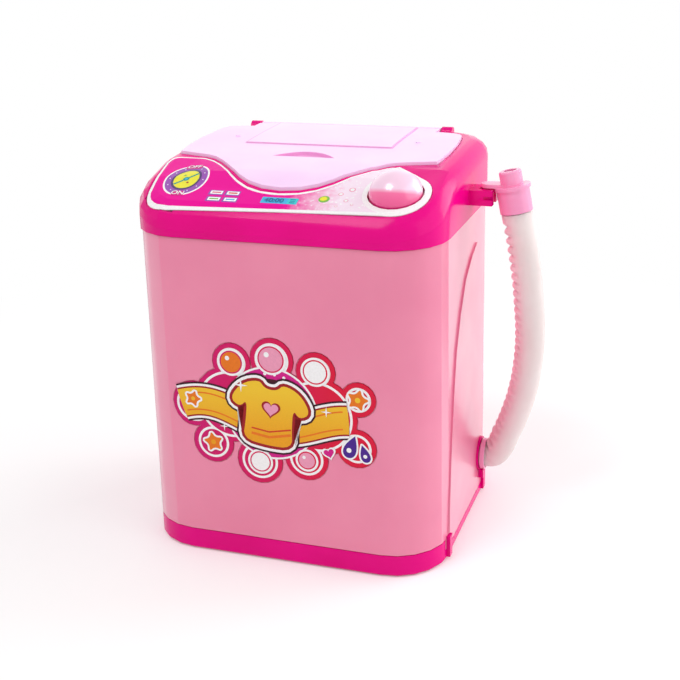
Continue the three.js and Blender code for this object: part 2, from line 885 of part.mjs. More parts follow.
// x, z and radius of each lobe
const stickerLobeShares = [
  [0.00, 0.00, 0.62], [-0.36, 0.06, 0.50], [0.40, 0.02, 0.52], [-0.70, 0.02, 0.30],
  [-0.34, 0.62, 0.25], [0.02, 0.70, 0.28], [0.40, 0.60, 0.25], [0.76, 0.30, 0.22],
  [0.74, -0.34, 0.25], [0.30, -0.56, 0.28], [-0.12, -0.66, 0.30], [-0.54, -0.48, 0.27],
];
const frontSkin = (proud) => bodyForm([[casingBottom, -proud], [casingTop, -proud]]);
function frontLobes(extra) {
  const back = -footDepth / 4;
  return join(stickerLobeShares.map(([x, z, r]) => {
    const cylinder = new THREE.CylinderGeometry(
      r * stickerHalfHeight + extra,
      r * stickerHalfHeight + extra,
      footDepth / 2,
      roundSides,
    );
    cylinder.translate(
      stickerCentreX + x * stickerHalfWidth,
      back - footDepth / 4,
      stickerCentreZ + z * stickerHalfHeight,
    );
    return toSolid(cylinder);
  }));
}
const frontSeat = stickerThickness + gap - frontStickerProud;
casing = casing.subtract(frontLobes(stickerMargin).subtract(frontSkin(-frontSeat)));
piece('outer_casing', casing, midPink);
const frontSticker = frontLobes(0)
  .intersect(frontSkin(frontStickerProud))
  .subtract(frontSkin(frontStickerProud - stickerThickness));
piece('front_sticker', frontSticker, printed);

// Panel frame: origin on the panel under the button, Z along the panel's normal
const panelFrame = new THREE.Matrix4()
  .makeTranslation(buttonX, buttonY, topHeight(buttonY))
  .multiply(new THREE.Matrix4().makeRotationX(panelAngle));

const bulgeShares = [0.56, 0.67, 0.14];
const stickerCornerShares = [0.04, 0.29];

// Lid outline, drawn out by a margin
function lidShape(extra) {
  const side = lidHalfWidth + extra;
  const shoulder = lidShoulderY - extra;
  const bulge = lidBulgeY - extra;
  const shape = new THREE.Shape();
  const rearIn = lidNotchX + extra;
  const rear = hingeY;
  shape.moveTo(lidCentreX - rearIn, rear);
  shape.lineTo(lidCentreX - rearIn, lidNotchY + extra);
  shape.quadraticCurveTo(
    lidCentreX - side + lidSideBow,
    lidNotchY + extra,
    lidCentreX - side + lidSideBow,
    lidRearY,
  );
  shape.quadraticCurveTo(
    lidCentreX - side - lidSideBow,
    (lidRearY + shoulder) / 2,
    lidCentreX - side + lidSideBow,
    shoulder,
  );
  shape.lineTo(lidCentreX - lidBulgeEndX, lidBulgeEndY - extra);
  shape.bezierCurveTo(
    lidCentreX - lidBulgeEndX * bulgeShares[1],
    lidBulgeEndY - extra + (lidBulgeY - lidBulgeEndY) * bulgeShares[2],
    lidCentreX - lidBulgeEndX * bulgeShares[0], bulge,
    lidCentreX, bulge,
  );
  shape.bezierCurveTo(
    lidCentreX + lidBulgeEndX * bulgeShares[0], bulge,
    lidCentreX + lidBulgeEndX * bulgeShares[1],
    lidBulgeEndY - extra + (lidBulgeY - lidBulgeEndY) * bulgeShares[2],
    lidCentreX + lidBulgeEndX, lidBulgeEndY - extra,
  );
  shape.lineTo(lidCentreX + side - lidSideBow, shoulder);
  shape.quadraticCurveTo(
    lidCentreX + side + lidSideBow,
    (lidRearY + shoulder) / 2,
    lidCentreX + side - lidSideBow,
    lidRearY,
  );
  shape.quadraticCurveTo(
    lidCentreX + side - lidSideBow,
    lidNotchY + extra,
    lidCentreX + rearIn,
    lidNotchY + extra,
  );
  shape.lineTo(lidCentreX + rearIn, rear);
  shape.closePath();
  return shape;
}

// Control panel sticker outline: along the lid's bulge, round the button and back
function panelStickerShape(extra) {
  const shape = new THREE.Shape();
  const bottom = panelStickerBottomY - extra;
  const left = -panelStickerLeft - extra;
  const lift = panelStickerLidGap - extra;
  const rim = buttonRadius + panelStickerRim + extra;
  const endAngle = THREE.MathUtils.degToRad(58);
  const startAngle = THREE.MathUtils.degToRad(-84);
  const lean = stickerCornerShares[0] * panelStickerLeft;
  shape.moveTo(left + stickerCornerShares[1] * panelStickerLeft, bottom);
  shape.lineTo(buttonX + rim * Math.cos(startAngle), buttonY + rim * Math.sin(startAngle));
  shape.absarc(buttonX, buttonY, rim, startAngle, endAngle, false);
  shape.lineTo(lidCentreX + lidBulgeEndX, lidBulgeEndY - lift);
  shape.bezierCurveTo(
    lidCentreX + lidBulgeEndX * bulgeShares[1],
    lidBulgeEndY - lift + (lidBulgeY - lidBulgeEndY) * bulgeShares[2],
    lidCentreX + lidBulgeEndX * bulgeShares[0], lidBulgeY - lift,
    lidCentreX, lidBulgeY - lift,
  );
  shape.bezierCurveTo(
    lidCentreX - lidBulgeEndX * bulgeShares[0], lidBulgeY - lift,
    lidCentreX - lidBulgeEndX * bulgeShares[1],
    lidBulgeEndY - lift + (lidBulgeY - lidBulgeEndY) * bulgeShares[2],
    lidCentreX - lidBulgeEndX, lidBulgeEndY - lift,
  );
  shape.lineTo(left + lean * 2, lidBulgeEndY - lift);
  shape.quadraticCurveTo(left, lidBulgeEndY - lift, left, lidBulgeEndY - lift - lean * 2);
  shape.lineTo(left + lean, bottom + lean * 4);
  shape.quadraticCurveTo(left + lean, bottom, left + stickerCornerShares[1] * panelStickerLeft, bottom);
  shape.closePath();
  return shape;
}

// Top frame: shell, skirt, mouth collar, hinge beam, bosses and hose fork
const capOuter = capForm(0, 0, capEdge, casingTopHeight);
const capInner = capForm(shellWall, capShell, capEdge - shellWall, casingTopHeight - overrun);
const capCrown = browHeight + rearRise + lidProud * 2;
const hingeZ = topHeight(hingeY) + lidProud - hingeRadius;
const collarBottom = tubTopHeight + gap;
const skirtOuter = shellWall + gap;
const skirtBottom = casingTopHeight - skirtDepth;
const ledgeTop = casingTopHeight + skirtLedge;
const skirtHollow = bodyForm([
  [skirtBottom - overrun, skirtOuter + skirtWall],
  [ledgeTop + overrun, skirtOuter + skirtWall],
]);
const skirt = bodyForm([[skirtBottom, skirtOuter], [ledgeTop, skirtOuter]]);
const ledge = capOuter.intersect(
  block(-footWidth, footWidth, -footDepth, footDepth, casingTopHeight, ledgeTop),
);
const tubEars = earAngles.map((degrees) => {
  const angle = THREE.MathUtils.degToRad(degrees);
  return [earReach * Math.cos(angle), tubY + earReach * Math.sin(angle)];
});
const tubScrewZ = tubTopHeight - tubFlangeThickness - gap;
const holderScrewZ = -(holderTop + holderThickness + gap);
const hingeEars = [1, -1].map((side) => {
  const inner = lidCentreX + side * (hingeHalf + runningGap);
  const outer = lidCentreX + side * beamHalf;
  const [x0, x1] = [Math.min(inner, outer), Math.max(inner, outer)];
  const round = hingeRadius + runningGap;
  return join([
    rod(round, x0, x1, hingeY, hingeZ),
    block(x0, x1, hingeY - round, hingeY + round, hingeZ - beamDrop, hingeZ),
  ]);
});
const beam = block(
  lidCentreX - beamHalf,
  lidCentreX + beamHalf,
  hingeY - beamDepth / 2,
  hingeY + beamDepth / 2,
  hingeZ - beamDrop,
  capCrown,
).intersect(capOuter);
const forkMiddle = (forkBottom + forkTop) / 2;
const forkArm = cut(
  block(
    capWidth / 2 - shellWall,
    forkReach,
    fittingY - forkHalfWidth,
    fittingY + forkHalfWidth,
    forkBottom,
    forkTop,
  ),
  [
    block(
      forkSlotX,
      forkReach + overrun,
      fittingY - forkSlotHalf,
      fittingY + forkSlotHalf,
      forkBottom - overrun,
      forkTop + overrun,
    ),
    ...[1, -1].map((side) => block(
      forkGrooveX,
      forkReach + overrun,
      fittingY + side * forkHalfWidth - forkGrooveDepth,
      fittingY + side * forkHalfWidth + forkGrooveDepth,
      forkMiddle - forkGrooveHeight / 2,
      forkMiddle + forkGrooveHeight / 2,
    )),
  ],
);
const mouth = drum(tubRadius, collarBottom - overrun, capCrown, 0, tubY, tubSides);
let topFrame = join([
  capOuter.subtract(capInner),
  skirt,
  ledge,
]).subtract(skirtHollow);
topFrame = join([
  topFrame,
  drum(tubOuter, collarBottom, capCrown, 0, tubY, tubSides).intersect(capOuter),
  beam,
  ...tubEars.map(([x, y]) => (
    drum(bossRadius, collarBottom, capCrown, x, y, smallSides).intersect(capOuter)
  )),
  ...[1, -1].map((side) => drum(
    holderBossRadius,
    gap - holderTop,
    0,
    side * holderBossX,
    0,
    smallSides,
    panelFrame,
  ).intersect(capOuter)),
]);
const lidSeat = prism(lidShape(runningGap), collarBottom, capCrown)
  .subtract(capForm(0, lidThickness - lidProud + gap, capEdge, casingTopHeight));
const stickerSeat = prism(panelStickerShape(stickerMargin), casingTopHeight, capCrown)
  .subtract(capForm(0, stickerThickness + gap - stickerProud, capEdge, casingTopHeight));
const troughRadius = hingeRadius + runningGap;
topFrame = cut(topFrame, [
  mouth,
  lidSeat,
  stickerSeat,
  rod(
    troughRadius,
    lidCentreX - hingeHalf - runningGap,
    lidCentreX + hingeHalf + runningGap,
    hingeY,
    hingeZ,
  ),
  block(
    lidCentreX - hingeHalf - runningGap,
    lidCentreX + hingeHalf + runningGap,
    hingeY - troughRadius,
    hingeY + troughRadius,
    hingeZ,
    capCrown,
  ),
  ...tubEars.map(([x, y]) => drum(
    smallShank + gap,
    collarBottom - overrun,
    tubScrewZ + tubScrewLength + gap * 2,
    x,
    y,
    smallSides,
  )),
  ...[1, -1].map((side) => drum(
    smallShank + gap,
    -holderTop - overrun,
    holderScrewZ + holderScrewLength + gap,
    side * holderBossX,
    0,
    smallSides,
    panelFrame,
  )),
  drum(buttonRadius + runningGap, -capShell - overrun, capEdge, 0, 0, roundSides, panelFrame),
]);
topFrame = join([topFrame, ...hingeEars, forkArm]);
topFrame = topFrame.subtract(rod(
  pinRadius + gap,
  lidCentreX - hingeHalf - pinLength - gap,
  lidCentreX + hingeHalf + pinLength + gap,
  hingeY,
  hingeZ,
  smallSides,
));
piece('top_frame', topFrame, hotPink);

const panelSticker = prism(panelStickerShape(0), casingTopHeight, capCrown)
  .intersect(capForm(0, -stickerProud, capEdge, casingTopHeight))
  .subtract(capForm(0, stickerThickness - stickerProud, capEdge, casingTopHeight))
  .subtract(drum(
    buttonRadius + runningGap,
    -capShell,
    capEdge,
    0,
    0,
    roundSides,
    panelFrame,
  ));
piece('panel_sticker', panelSticker, printed);

// Lid with its barrel, pins, raised panel, finger recess, studs and locating rib
const lidTop = capForm(0, -lidProud, capEdge, casingTopHeight);
const lidUnder = capForm(0, lidThickness - lidProud, capEdge, casingTopHeight);
const lidBody = prism(lidShape(0), casingTopHeight, capCrown + overrun)
  .intersect(lidTop)
  .subtract(lidUnder);
const lidPanel = block(
  lidCentreX - lidPanelHalf,
  lidCentreX + lidPanelHalf,
  lidPanelFrontY,
  lidPanelRearY,
  casingTopHeight,
  capCrown + overrun,
).intersect(capForm(0, -lidProud - lidPanelProud, capEdge, casingTopHeight)).subtract(capOuter);
const studs = [1, -1].map((side) => (
  drum(studRadius, collarBottom, capCrown + overrun, lidCentreX + side * studX, studY, smallSides)
    .intersect(capForm(0, -lidProud - studProud, capEdge, casingTopHeight))
    .subtract(capOuter)
));
const fingerShape = new THREE.Shape();
fingerShape.moveTo(lidCentreX - fingerHalf, fingerFrontY);
fingerShape.lineTo(lidCentreX + fingerHalf, fingerFrontY);
fingerShape.quadraticCurveTo(
  lidCentreX,
  fingerFrontY + fingerDepthY * 2,
  lidCentreX - fingerHalf,
  fingerFrontY,
);
const fingerCut = prism(fingerShape, collarBottom, capCrown + overrun)
  .subtract(capForm(0, fingerDeep - lidProud, capEdge, casingTopHeight));
const ribOuter = tubRadius - lidRibClearance;
const lidRib = cut(drum(ribOuter, collarBottom, capCrown, 0, tubY, tubSides), [
  drum(ribOuter - lidRibWall, collarBottom - overrun, capCrown + overrun, 0, tubY, tubSides),
]).intersect(capOuter).subtract(
  capForm(0, lidThickness - lidProud + lidRibDrop, capEdge, casingTopHeight),
);
const barrel = join([
  rod(hingeRadius, lidCentreX - hingeHalf, lidCentreX + hingeHalf, hingeY, hingeZ),
  rod(
    pinRadius,
    lidCentreX - hingeHalf - pinLength,
    lidCentreX + hingeHalf + pinLength,
    hingeY,
    hingeZ,
    smallSides,
  ),
]);
const lid = join([lidBody, lidPanel, ...studs, lidRib, barrel]).subtract(fingerCut);
piece('lid', lid, palePink);

// Power button, spring, switch holder and switch, in the panel's frame
const panelGroup = new THREE.Group();
panelGroup.position.set(buttonX, buttonY, topHeight(buttonY));
panelGroup.rotation.x = panelAngle;
group.add(panelGroup);

const panelUnder = capShell * Math.cos(panelAngle);
const tabTop = -panelUnder - buttonTabDrop;
const skirtEnd = tabTop - buttonTabThickness;
const domeProfile = Array.from({ length: domeSteps + 1 }, (unused, i) => {
  const turn = (i / domeSteps) * (Math.PI / 2);
  return [
    buttonRadius * Math.sin(turn),
    buttonEdge + (buttonDome - buttonEdge) * Math.cos(turn),
  ];
});
domeProfile[0] = [0, buttonDome];
const buttonBody = turned([
  ...domeProfile,
  [buttonRadius, skirtEnd],
  [buttonRadius - buttonSkirt, skirtEnd],
  [buttonRadius - buttonSkirt, buttonCeiling],
  [stemRadius, buttonCeiling],
  [stemRadius, -stemEnd],
  [0, -stemEnd],
]);
const buttonTabs = [1, -1].map((side) => {
  const inner = side * (buttonRadius - buttonSkirt / 2);
  const outer = side * buttonTabReach;
  return block(
    -buttonTabHalf,
    buttonTabHalf,
    Math.min(inner, outer),
    Math.max(inner, outer),
    skirtEnd,
    tabTop,
  );
});
piece('power_button', join([buttonBody, ...buttonTabs]), lightPink, panelGroup);

const springBottom = -holderTop + gap + springWire;
const springTop = buttonCeiling - gap - springWire;
const buttonCoil = coilPoints(springRadius, springRadius, springBottom, springTop, springTurns);
piece('button_spring', toSolid(loft(sweptRings(buttonCoil, springWire, 5))), steel, panelGroup);

const holder = cut(
  join([
    block(
      -holderBossX,
      holderBossX,
      -holderHalfWidth,
      holderHalfWidth,
      -holderTop - holderThickness,
      -holderTop,
    ),
    ...[1, -1].map((side) => drum(
      holderHalfLength - holderBossX,
      -holderTop - holderThickness,
      -holderTop,
      side * holderBossX,
      0,
      smallSides,
    )),
  ]),
  [
    drum(stemRadius + runningGap * 2, -holderTop - holderThickness - overrun, -holderTop + overrun),
    ...[1, -1].map((side) => drum(
      smallShank + gap,
      -holderTop - holderThickness - overrun,
      -holderTop + overrun,
      side * holderBossX,
      0,
      smallSides,
    )),
  ],
);
piece('switch_holder', holder, white, panelGroup);
[1, -1].forEach((side, i) => {
  const x = side * holderBossX;
  piece(
    `switch_holder_screw_${i + 1}`,
    screw(smallShank, smallHead, smallHeadHeight, holderScrewLength, holderScrewZ, x, 0),
    steel,
    panelGroup,
  );
});

const switchTop = -holderTop - holderThickness - gap;
const switchBottom = switchTop - switchHeight;
const plungerTop = -stemEnd - gap;
const boreHalf = plungerHalf + gap;
const switchBody = block(-switchHalf, switchHalf, -switchHalf, switchHalf, switchBottom, switchTop)
  .subtract(block(
    -boreHalf,
    boreHalf,
    -boreHalf,
    boreHalf,
    switchBottom + switchWall,
    switchTop + overrun,
  ));
piece('switch_body', switchBody, black, panelGroup);
piece('switch_plunger', block(
  -plungerHalf,
  plungerHalf,
  -plungerHalf,
  plungerHalf,
  plungerTop - plungerLength,
  plungerTop,
), white, panelGroup);

// Tub, hung from the top frame by four screwed ears
const tubUnder = tubFloorHeight - tubFloor;
const drainX = Math.sqrt(drainReach ** 2 - (hoseY - tubY) ** 2);
const flangeUnder = tubTopHeight - tubFlangeThickness;
const sealHole = sealNeckRadius + gap;
const nippleRadius = nippleBore + nippleWall;
const tubShell = turned([
  [sealHole, tubUnder],
  [tubRadius - tubToe, tubUnder],
  [tubOuter - tubWall / 2, tubUnder + tubToe],
  [tubOuter, flangeUnder],
  [tubOuter + tubFlange, flangeUnder],
  [tubOuter + tubFlange, tubTopHeight],
  [tubRadius, tubTopHeight],
  [tubRadius - tubWall / 2, tubFloorHeight + tubToe],
  [tubRadius - tubToe, tubFloorHeight],
  [sealHole, tubFloorHeight],
  [sealHole, tubUnder],
], tubSides, 0, tubY);
const tubRibs = Array.from({ length: tubRibCount }, (unused, i) => {
  const angle = ((i + 1 / 2) / tubRibCount) * Math.PI * 2;
  const reach = tubRadius;
  return drum(
    tubRibRadius,
    tubRibBottom,
    tubRibTop,
    reach * Math.cos(angle),
    tubY + reach * Math.sin(angle),
    smallSides,
  );
});
const cradleBossY = [tubY - cradleBossReach, tubY + cradleBossReach];
const cradleTop = tubUnder - cradleBossDrop - gap;
const cradleScrewZ = cradleTop - cradleThickness - gap;
let washTub = join([
  tubShell,
  ...tubRibs,
  ...tubEars.map(([x, y]) => drum(earRadius, flangeUnder, tubTopHeight, x, y)),
  drum(nippleRadius, tubUnder - nippleDrop, tubFloorHeight - tubFloor / 2, drainX, hoseY),
  ...cradleBossY.map((y) => (
    drum(bossRadius, tubUnder - cradleBossDrop, tubFloorHeight - tubFloor / 2, 0, y)
  )),
]);
washTub = cut(washTub, [
  drum(nippleBore, tubUnder - nippleDrop - overrun, tubFloorHeight + overrun, drainX, hoseY),
  ...tubEars.map(([x, y]) => (
    drum(smallShank + gap, flangeUnder - overrun, tubTopHeight + overrun, x, y, smallSides)
  )),
  ...cradleBossY.map((y) => drum(
    smallShank + gap,
    tubUnder - cradleBossDrop - overrun,
    cradleScrewZ + cradleScrewLength + gap,
    0,
    y,
    smallSides,
  )),
]);
piece('wash_tub', washTub, white);
tubEars.forEach(([x, y], i) => {
  piece(
    `tub_screw_${i + 1}`,
    screw(smallShank, smallHead, smallHeadHeight, tubScrewLength, tubScrewZ, x, y),
    steel,
  );
});

// Motor: can with flats, end cap, shaft, rubber seal and cradle
const motorBottom = motorTopHeight - motorLength;
const canFlats = block(
  -motorRadius,
  motorRadius,
  tubY - motorFlat,
  tubY + motorFlat,
  0,
  tubUnder,
);
const shaftBore = shaftRadius + gap;
const noseTop = motorTopHeight + motorNose;
const shaftBottom = motorTopHeight - gap;
const motorCan = join([
  drum(motorRadius, motorBottom, motorTopHeight, 0, tubY).intersect(canFlats),
  drum(motorNoseRadius, motorTopHeight - gap, noseTop, 0, tubY, smallSides),
]).subtract(drum(shaftBore, shaftBottom - gap, noseTop + overrun, 0, tubY, smallSides));
piece('motor_can', motorCan, steel);
const endCapTop = motorBottom - gap;
const endCapBottom = endCapTop - endCapLength;
piece('motor_end_cap', drum(motorRadius, endCapBottom, endCapTop, 0, tubY).intersect(canFlats), white);
piece('motor_shaft', drum(shaftRadius, shaftBottom, shaftBottom + shaftLength, 0, tubY, smallSides), steel);

const sealTop = tubFloorHeight + gap + sealFlange;
const sealBottom = tubUnder - gap - sealFlange;
piece('shaft_seal', turned([
  [shaftBore, sealBottom],
  [sealFlangeRadius, sealBottom],
  [sealFlangeRadius, tubUnder - gap],
  [sealNeckRadius, tubUnder - gap],
  [sealNeckRadius, tubFloorHeight + gap],
  [sealFlangeRadius, tubFloorHeight + gap],
  [sealFlangeRadius, sealTop],
  [shaftBore, sealTop],
  [shaftBore, sealBottom],
], smallSides, 0, tubY), rubber);

const armInner = motorFlat + gap;
const armOuter = armInner + cradleThickness;
const plateTop = endCapBottom - gap;
const plateBottom = plateTop - cradleThickness;
const flangeReach = cradleBossReach + bossRadius;
const cradleOutline = [
  [armOuter, plateBottom], [armOuter, cradleTop - cradleThickness],
  [flangeReach, cradleTop - cradleThickness], [flangeReach, cradleTop],
  [armInner, cradleTop], [armInner, plateTop],
];
const cradleShape = new THREE.Shape([
  ...cradleOutline.map(([y, z]) => new THREE.Vector2(tubY + y, z)),
  ...[...cradleOutline].reverse().map(([y, z]) => new THREE.Vector2(tubY - y, z)),
]);
piece('motor_cradle', cut(slabX(cradleShape, -cradleHalfWidth, cradleHalfWidth), cradleBossY.map((y) => (
  drum(smallShank + gap, cradleScrewZ - overrun, cradleTop + overrun, 0, y, smallSides)
))), white);
cradleBossY.forEach((y, i) => {
  piece(
    `cradle_screw_${i + 1}`,
    screw(smallShank, smallHead, smallHeadHeight, cradleScrewLength, cradleScrewZ, 0, y),
    steel,
  );
});

// Pulsator: a disc with a domed middle and swept vanes
const discBottom = tubFloorHeight + pulsatorLift;
const discTop = discBottom + pulsatorDisc;
const pulsatorTop = discBottom + pulsatorHeight;
const hubBottom = sealTop + gap;
const boreTop = shaftBottom + shaftLength + gap;
const pulsatorBase = turned([
  [0, boreTop],
  [shaftBore, boreTop],
  [shaftBore, hubBottom],
  [pulsatorHubRadius, hubBottom],
  [pulsatorHubRadius, discBottom],
  [pulsatorRadius - pulsatorDisc / 2, discBottom],
  [pulsatorRadius, discBottom + pulsatorDisc / 2],
  [pulsatorRadius - pulsatorDisc / 4, discTop],
  [pulsatorRadius / 2, discTop + pulsatorDisc / 4],
  [pulsatorHubRadius, pulsatorTop - pulsatorDisc / 4],
  [0, pulsatorTop],
], roundSides, 0, tubY);
const vaneShape = new THREE.Shape();
vaneShape.moveTo(vaneInner, -vaneWidth / 2);
vaneShape.quadraticCurveTo(
  (vaneInner + vaneOuter) / 2,
  vaneSweep - vaneWidth / 2,
  vaneOuter,
  -vaneWidth / 4,
);
vaneShape.lineTo(vaneOuter, vaneWidth / 4);
vaneShape.quadraticCurveTo((vaneInner + vaneOuter) / 2, vaneSweep + vaneWidth, vaneInner, vaneWidth / 2);
vaneShape.closePath();
const vaneDome = turned([
  [0, discTop],
  [pulsatorRadius, discTop],
  [vaneOuter, discTop + pulsatorDisc / 2],
  [vaneOuter * vaneBendShare, pulsatorTop - pulsatorDisc / 2],
  [0, pulsatorTop],
], roundSides);
const vanes = Array.from({ length: vaneCount }, (unused, i) => {
  const solid = new THREE.ExtrudeGeometry(vaneShape, {
    depth: pulsatorHeight,
    bevelEnabled: false,
    curveSegments: 4,
  });
  solid.rotateZ((i / vaneCount) * Math.PI * 2);
  solid.translate(0, 0, discTop - gap);
  return toSolid(solid);
});
const vaneHold = drum(pulsatorRadius, discTop - gap, discTop, 0, 0);
const vaneSet = join(vanes).intersect(join([vaneDome, vaneHold]));
const vanePlace = new THREE.Matrix4().makeTranslation(0, tubY, 0);
const vaneGeometry = toGeometry(vaneSet).applyMatrix4(vanePlace);
piece('pulsator', pulsatorBase.add(toSolid(vaneGeometry)), midPink);

// Drain: elbow on the tub's nipple, outlet through the wall and its ring
const socketBore = nippleRadius + gap;
const socketOuter = socketBore + elbowWall;
const elbowOuter = elbowBore + elbowWall;
const socketBottom = tubUnder - nippleDrop - gap;
const elbowEnd = hoseStartX - gap;
const elbow = cut(
  join([
    drum(elbowOuter, hoseHeight - elbowOuter, socketBottom, drainX, hoseY),
    drum(socketOuter, socketBottom - elbowWall, tubUnder - gap, drainX, hoseY),
    rod(elbowOuter, drainX, elbowEnd, hoseY, hoseHeight),
    rod(hoseRadius, elbowEnd - elbowWall, elbowEnd, hoseY, hoseHeight),
  ]),
  [
    drum(elbowBore, hoseHeight, socketBottom + overrun, drainX, hoseY),
    drum(socketBore, socketBottom, tubUnder + overrun, drainX, hoseY),
    rod(elbowBore, drainX, elbowEnd + overrun, hoseY, hoseHeight),
  ],
);
piece('drain_elbow', elbow, white);

const outletFace = wallX + gap;
const outletEnd = outletFace + outletThickness;
const passage = cuffRadius + gap;
const outletLugX = outletFace + outletLugThickness;
const outlet = cut(
  join([
    rod(outletRadius, outletFace, outletEnd, hoseY, hoseHeight),
    rod(wallHole - gap, wallX - shellWall * 2, outletEnd, hoseY, hoseHeight),
    block(
      outletFace,
      outletLugX,
      hoseY - outletLugHalf,
      hoseY + outletLugHalf,
      hoseHeight - outletLugDrop,
      hoseHeight - ringRadius - gap,
    ),
    block(
      outletFace,
      outletEnd,
      hoseY - outletLugHalf,
      hoseY + outletLugHalf,
      hoseHeight - outletLugDrop,
      hoseHeight,
    ),
  ]),
  [rod(passage, wallX - shellWall * 3, outletLugX + overrun, hoseY, hoseHeight)],
);
piece('drain_outlet', outlet, hotPink);
const ringStart = outletEnd + gap;
piece('hose_ring', rod(ringRadius, ringStart, ringStart + ringThickness, hoseY, hoseHeight).subtract(
  rod(passage, ringStart - overrun, ringStart + ringThickness + overrun, hoseY, hoseHeight),
), lightPink);

// Drain hose: a smooth cuff through the wall, then ribs that fade on the outer side
const hoseRoute = new THREE.CatmullRomCurve3([
  [hoseStartX, hoseY, hoseHeight], [52.5, hoseY, hoseHeight],
  [56.0, hoseY, hoseHeight], [58.9, hoseY, hoseHeight],
  [60.6, 20.8, 19.4], [62.8, 20.6, 21.4], [64.9, 20.0, 25.4], [66.7, 19.2, 30.4], [68.7, 18.4, 35.3],
  [71.7, 16.6, 44.6], [73.9, 14.6, 53.8], [75.2, 12.5, 62.5], [76.0, 10.3, 71.3],
  [76.1, 8.2, 79.7], [75.8, 6.3, 87.9], [75.3, 4.9, 95.6], [74.4, 3.9, 103.2],
  [73.2, 3.5, 110.4], [72.2, 3.5, 115.4], [fittingX, fittingY, fittingHeight],
].map(([x, y, z]) => new THREE.Vector3(x, y, z)), false, 'catmullrom', 0.5);
const hoseLength = hoseRoute.getLength();
const cuffLength = hoseRadius * 2;
const ribStart = cuffLength + hoseRadius / 2;
const ribPitch = (hoseLength - ribStart - hoseRadius / 2) / ribCount;
const across = new THREE.Vector3(0, 1, 0);
function hoseRing(distance, radius, valley) {
  const share = Math.min(distance / hoseLength, 1);
  const centre = hoseRoute.getPointAt(share);
  const along = hoseRoute.getTangentAt(share);
  const side = across.clone().addScaledVector(along, -across.dot(along)).normalize();
  const inner = along.clone().cross(side);
  return Array.from({ length: 8 }, (unused, k) => {
    const angle = (k / 8) * Math.PI * 2;
    const fade = (1 + Math.sin(angle)) / 2;
    const reach = radius - valley * fade;
    return centre.clone()
      .addScaledVector(side, reach * Math.cos(angle))
      .addScaledVector(inner, reach * Math.sin(angle));
  });
}
const hoseRings = [
  hoseRing(0, cuffRadius, 0),
  hoseRing(cuffLength, cuffRadius, 0),
  hoseRing(cuffLength + cuffFlare, hoseRadius, 0),
];
for (let rib = 0; rib < ribCount; rib += 1) {
  hoseRings.push(hoseRing(ribStart + rib * ribPitch, hoseRadius, 0));
  hoseRings.push(hoseRing(ribStart + (rib + 1 / 2) * ribPitch, hoseRadius, ribDepth));
}
hoseRings.push(hoseRing(hoseLength - hoseRadius / 2, hoseRadius, 0));
hoseRings.push(hoseRing(hoseLength, hoseRadius, 0));
const boreRings = [hoseRing(0, cuffRadius - hoseWall, 0), hoseRing(cuffLength, cuffRadius - hoseWall, 0)];
for (let rib = 0; rib < ribCount; rib += 5) {
  boreRings.push(hoseRing(ribStart + rib * ribPitch, hoseRadius - ribDepth - hoseWall / 2, 0));
}
boreRings.push(hoseRing(hoseLength, hoseRadius - hoseWall, 0));
piece('drain_hose', toSolid(loft([...hoseRings, ...boreRings.reverse()], true)), translucent);

// End fitting: a leaning collar and nozzle, with the tab and peg that the fork holds
const fittingFrame = new THREE.Matrix4()
  .makeTranslation(fittingX, fittingY, fittingHeight)
  .multiply(new THREE.Matrix4().makeRotationY(-THREE.MathUtils.degToRad(fittingLean)));
const nozzleTop = collarLength + nozzleLength;
function fittingSolid(profile, sides) {
  const lathe = new THREE.LatheGeometry(profile.map(([r, z]) => new THREE.Vector2(r, z)), sides);
  lathe.rotateX(Math.PI / 2);
  lathe.applyMatrix4(fittingFrame);
  return toSolid(lathe);
}
const collar = fittingSolid([
  [0, gap],
  [collarRadius, gap],
  [collarRadius, collarLength - collarRimHeight],
  [collarRadius + collarRim, collarLength - collarRimHeight],
  [collarRadius + collarRim, collarLength],
  [nozzleRadius, collarLength],
  [nozzleRadius, nozzleTop - nozzleEdge],
  [nozzleRadius - nozzleEdge, nozzleTop],
  [0, nozzleTop],
], roundSides);
const collarBore = fittingSolid(
  [[0, 0], [nozzleBore, 0], [nozzleBore, nozzleTop + overrun], [0, nozzleTop + overrun]],
  roundSides,
);
const tabBottom = forkTop + tabClearance;
const fittingTab = join([
  block(
    tabX + tabHalfWidth,
    fittingX - collarRadius / 2,
    fittingY - tabHalfWidth,
    fittingY + tabHalfWidth,
    tabBottom,
    tabBottom + tabThickness,
  ),
  drum(tabHalfWidth, tabBottom, tabBottom + tabThickness, tabX + tabHalfWidth, fittingY),
  drum(pegRadius, tabBottom - pegLength, tabBottom + gap, pegX, fittingY, smallSides),
]);
piece('hose_end_fitting', join([collar, fittingTab]).subtract(collarBore), lightPink);

// Batteries and their contacts
const cellZ = doorTop + gap + cellRadius;
const contactFace = compartmentHalfLength - gap;
const contactInner = contactFace - contactThickness;
const nubEnd = contactInner - gap;
const cellEnd = nubEnd - cellNub;
const cellStart = cellEnd - cellLength;
[1, -1].forEach((side, i) => {
  const [x0, x1] = [side * cellStart, side * cellEnd];
  piece(`battery_cell_${i + 1}`, join([
    rod(cellRadius, Math.min(x0, x1), Math.max(x0, x1), cellY[i], cellZ, smallSides),
    rod(
      cellNubRadius,
      Math.min(side * nubEnd, x1 - side * gap),
      Math.max(side * nubEnd, x1 - side * gap),
      cellY[i],
      cellZ,
      smallSides,
    ),
  ]), cellGreen);
});
function contactPlate(side, y0, y1) {
  return block(
    Math.min(side * contactInner, side * contactFace),
    Math.max(side * contactInner, side * contactFace),
    y0 - contactHalf,
    y1 + contactHalf,
    cellZ - contactHalf,
    cellZ + contactTabLift + contactThickness,
  );
}
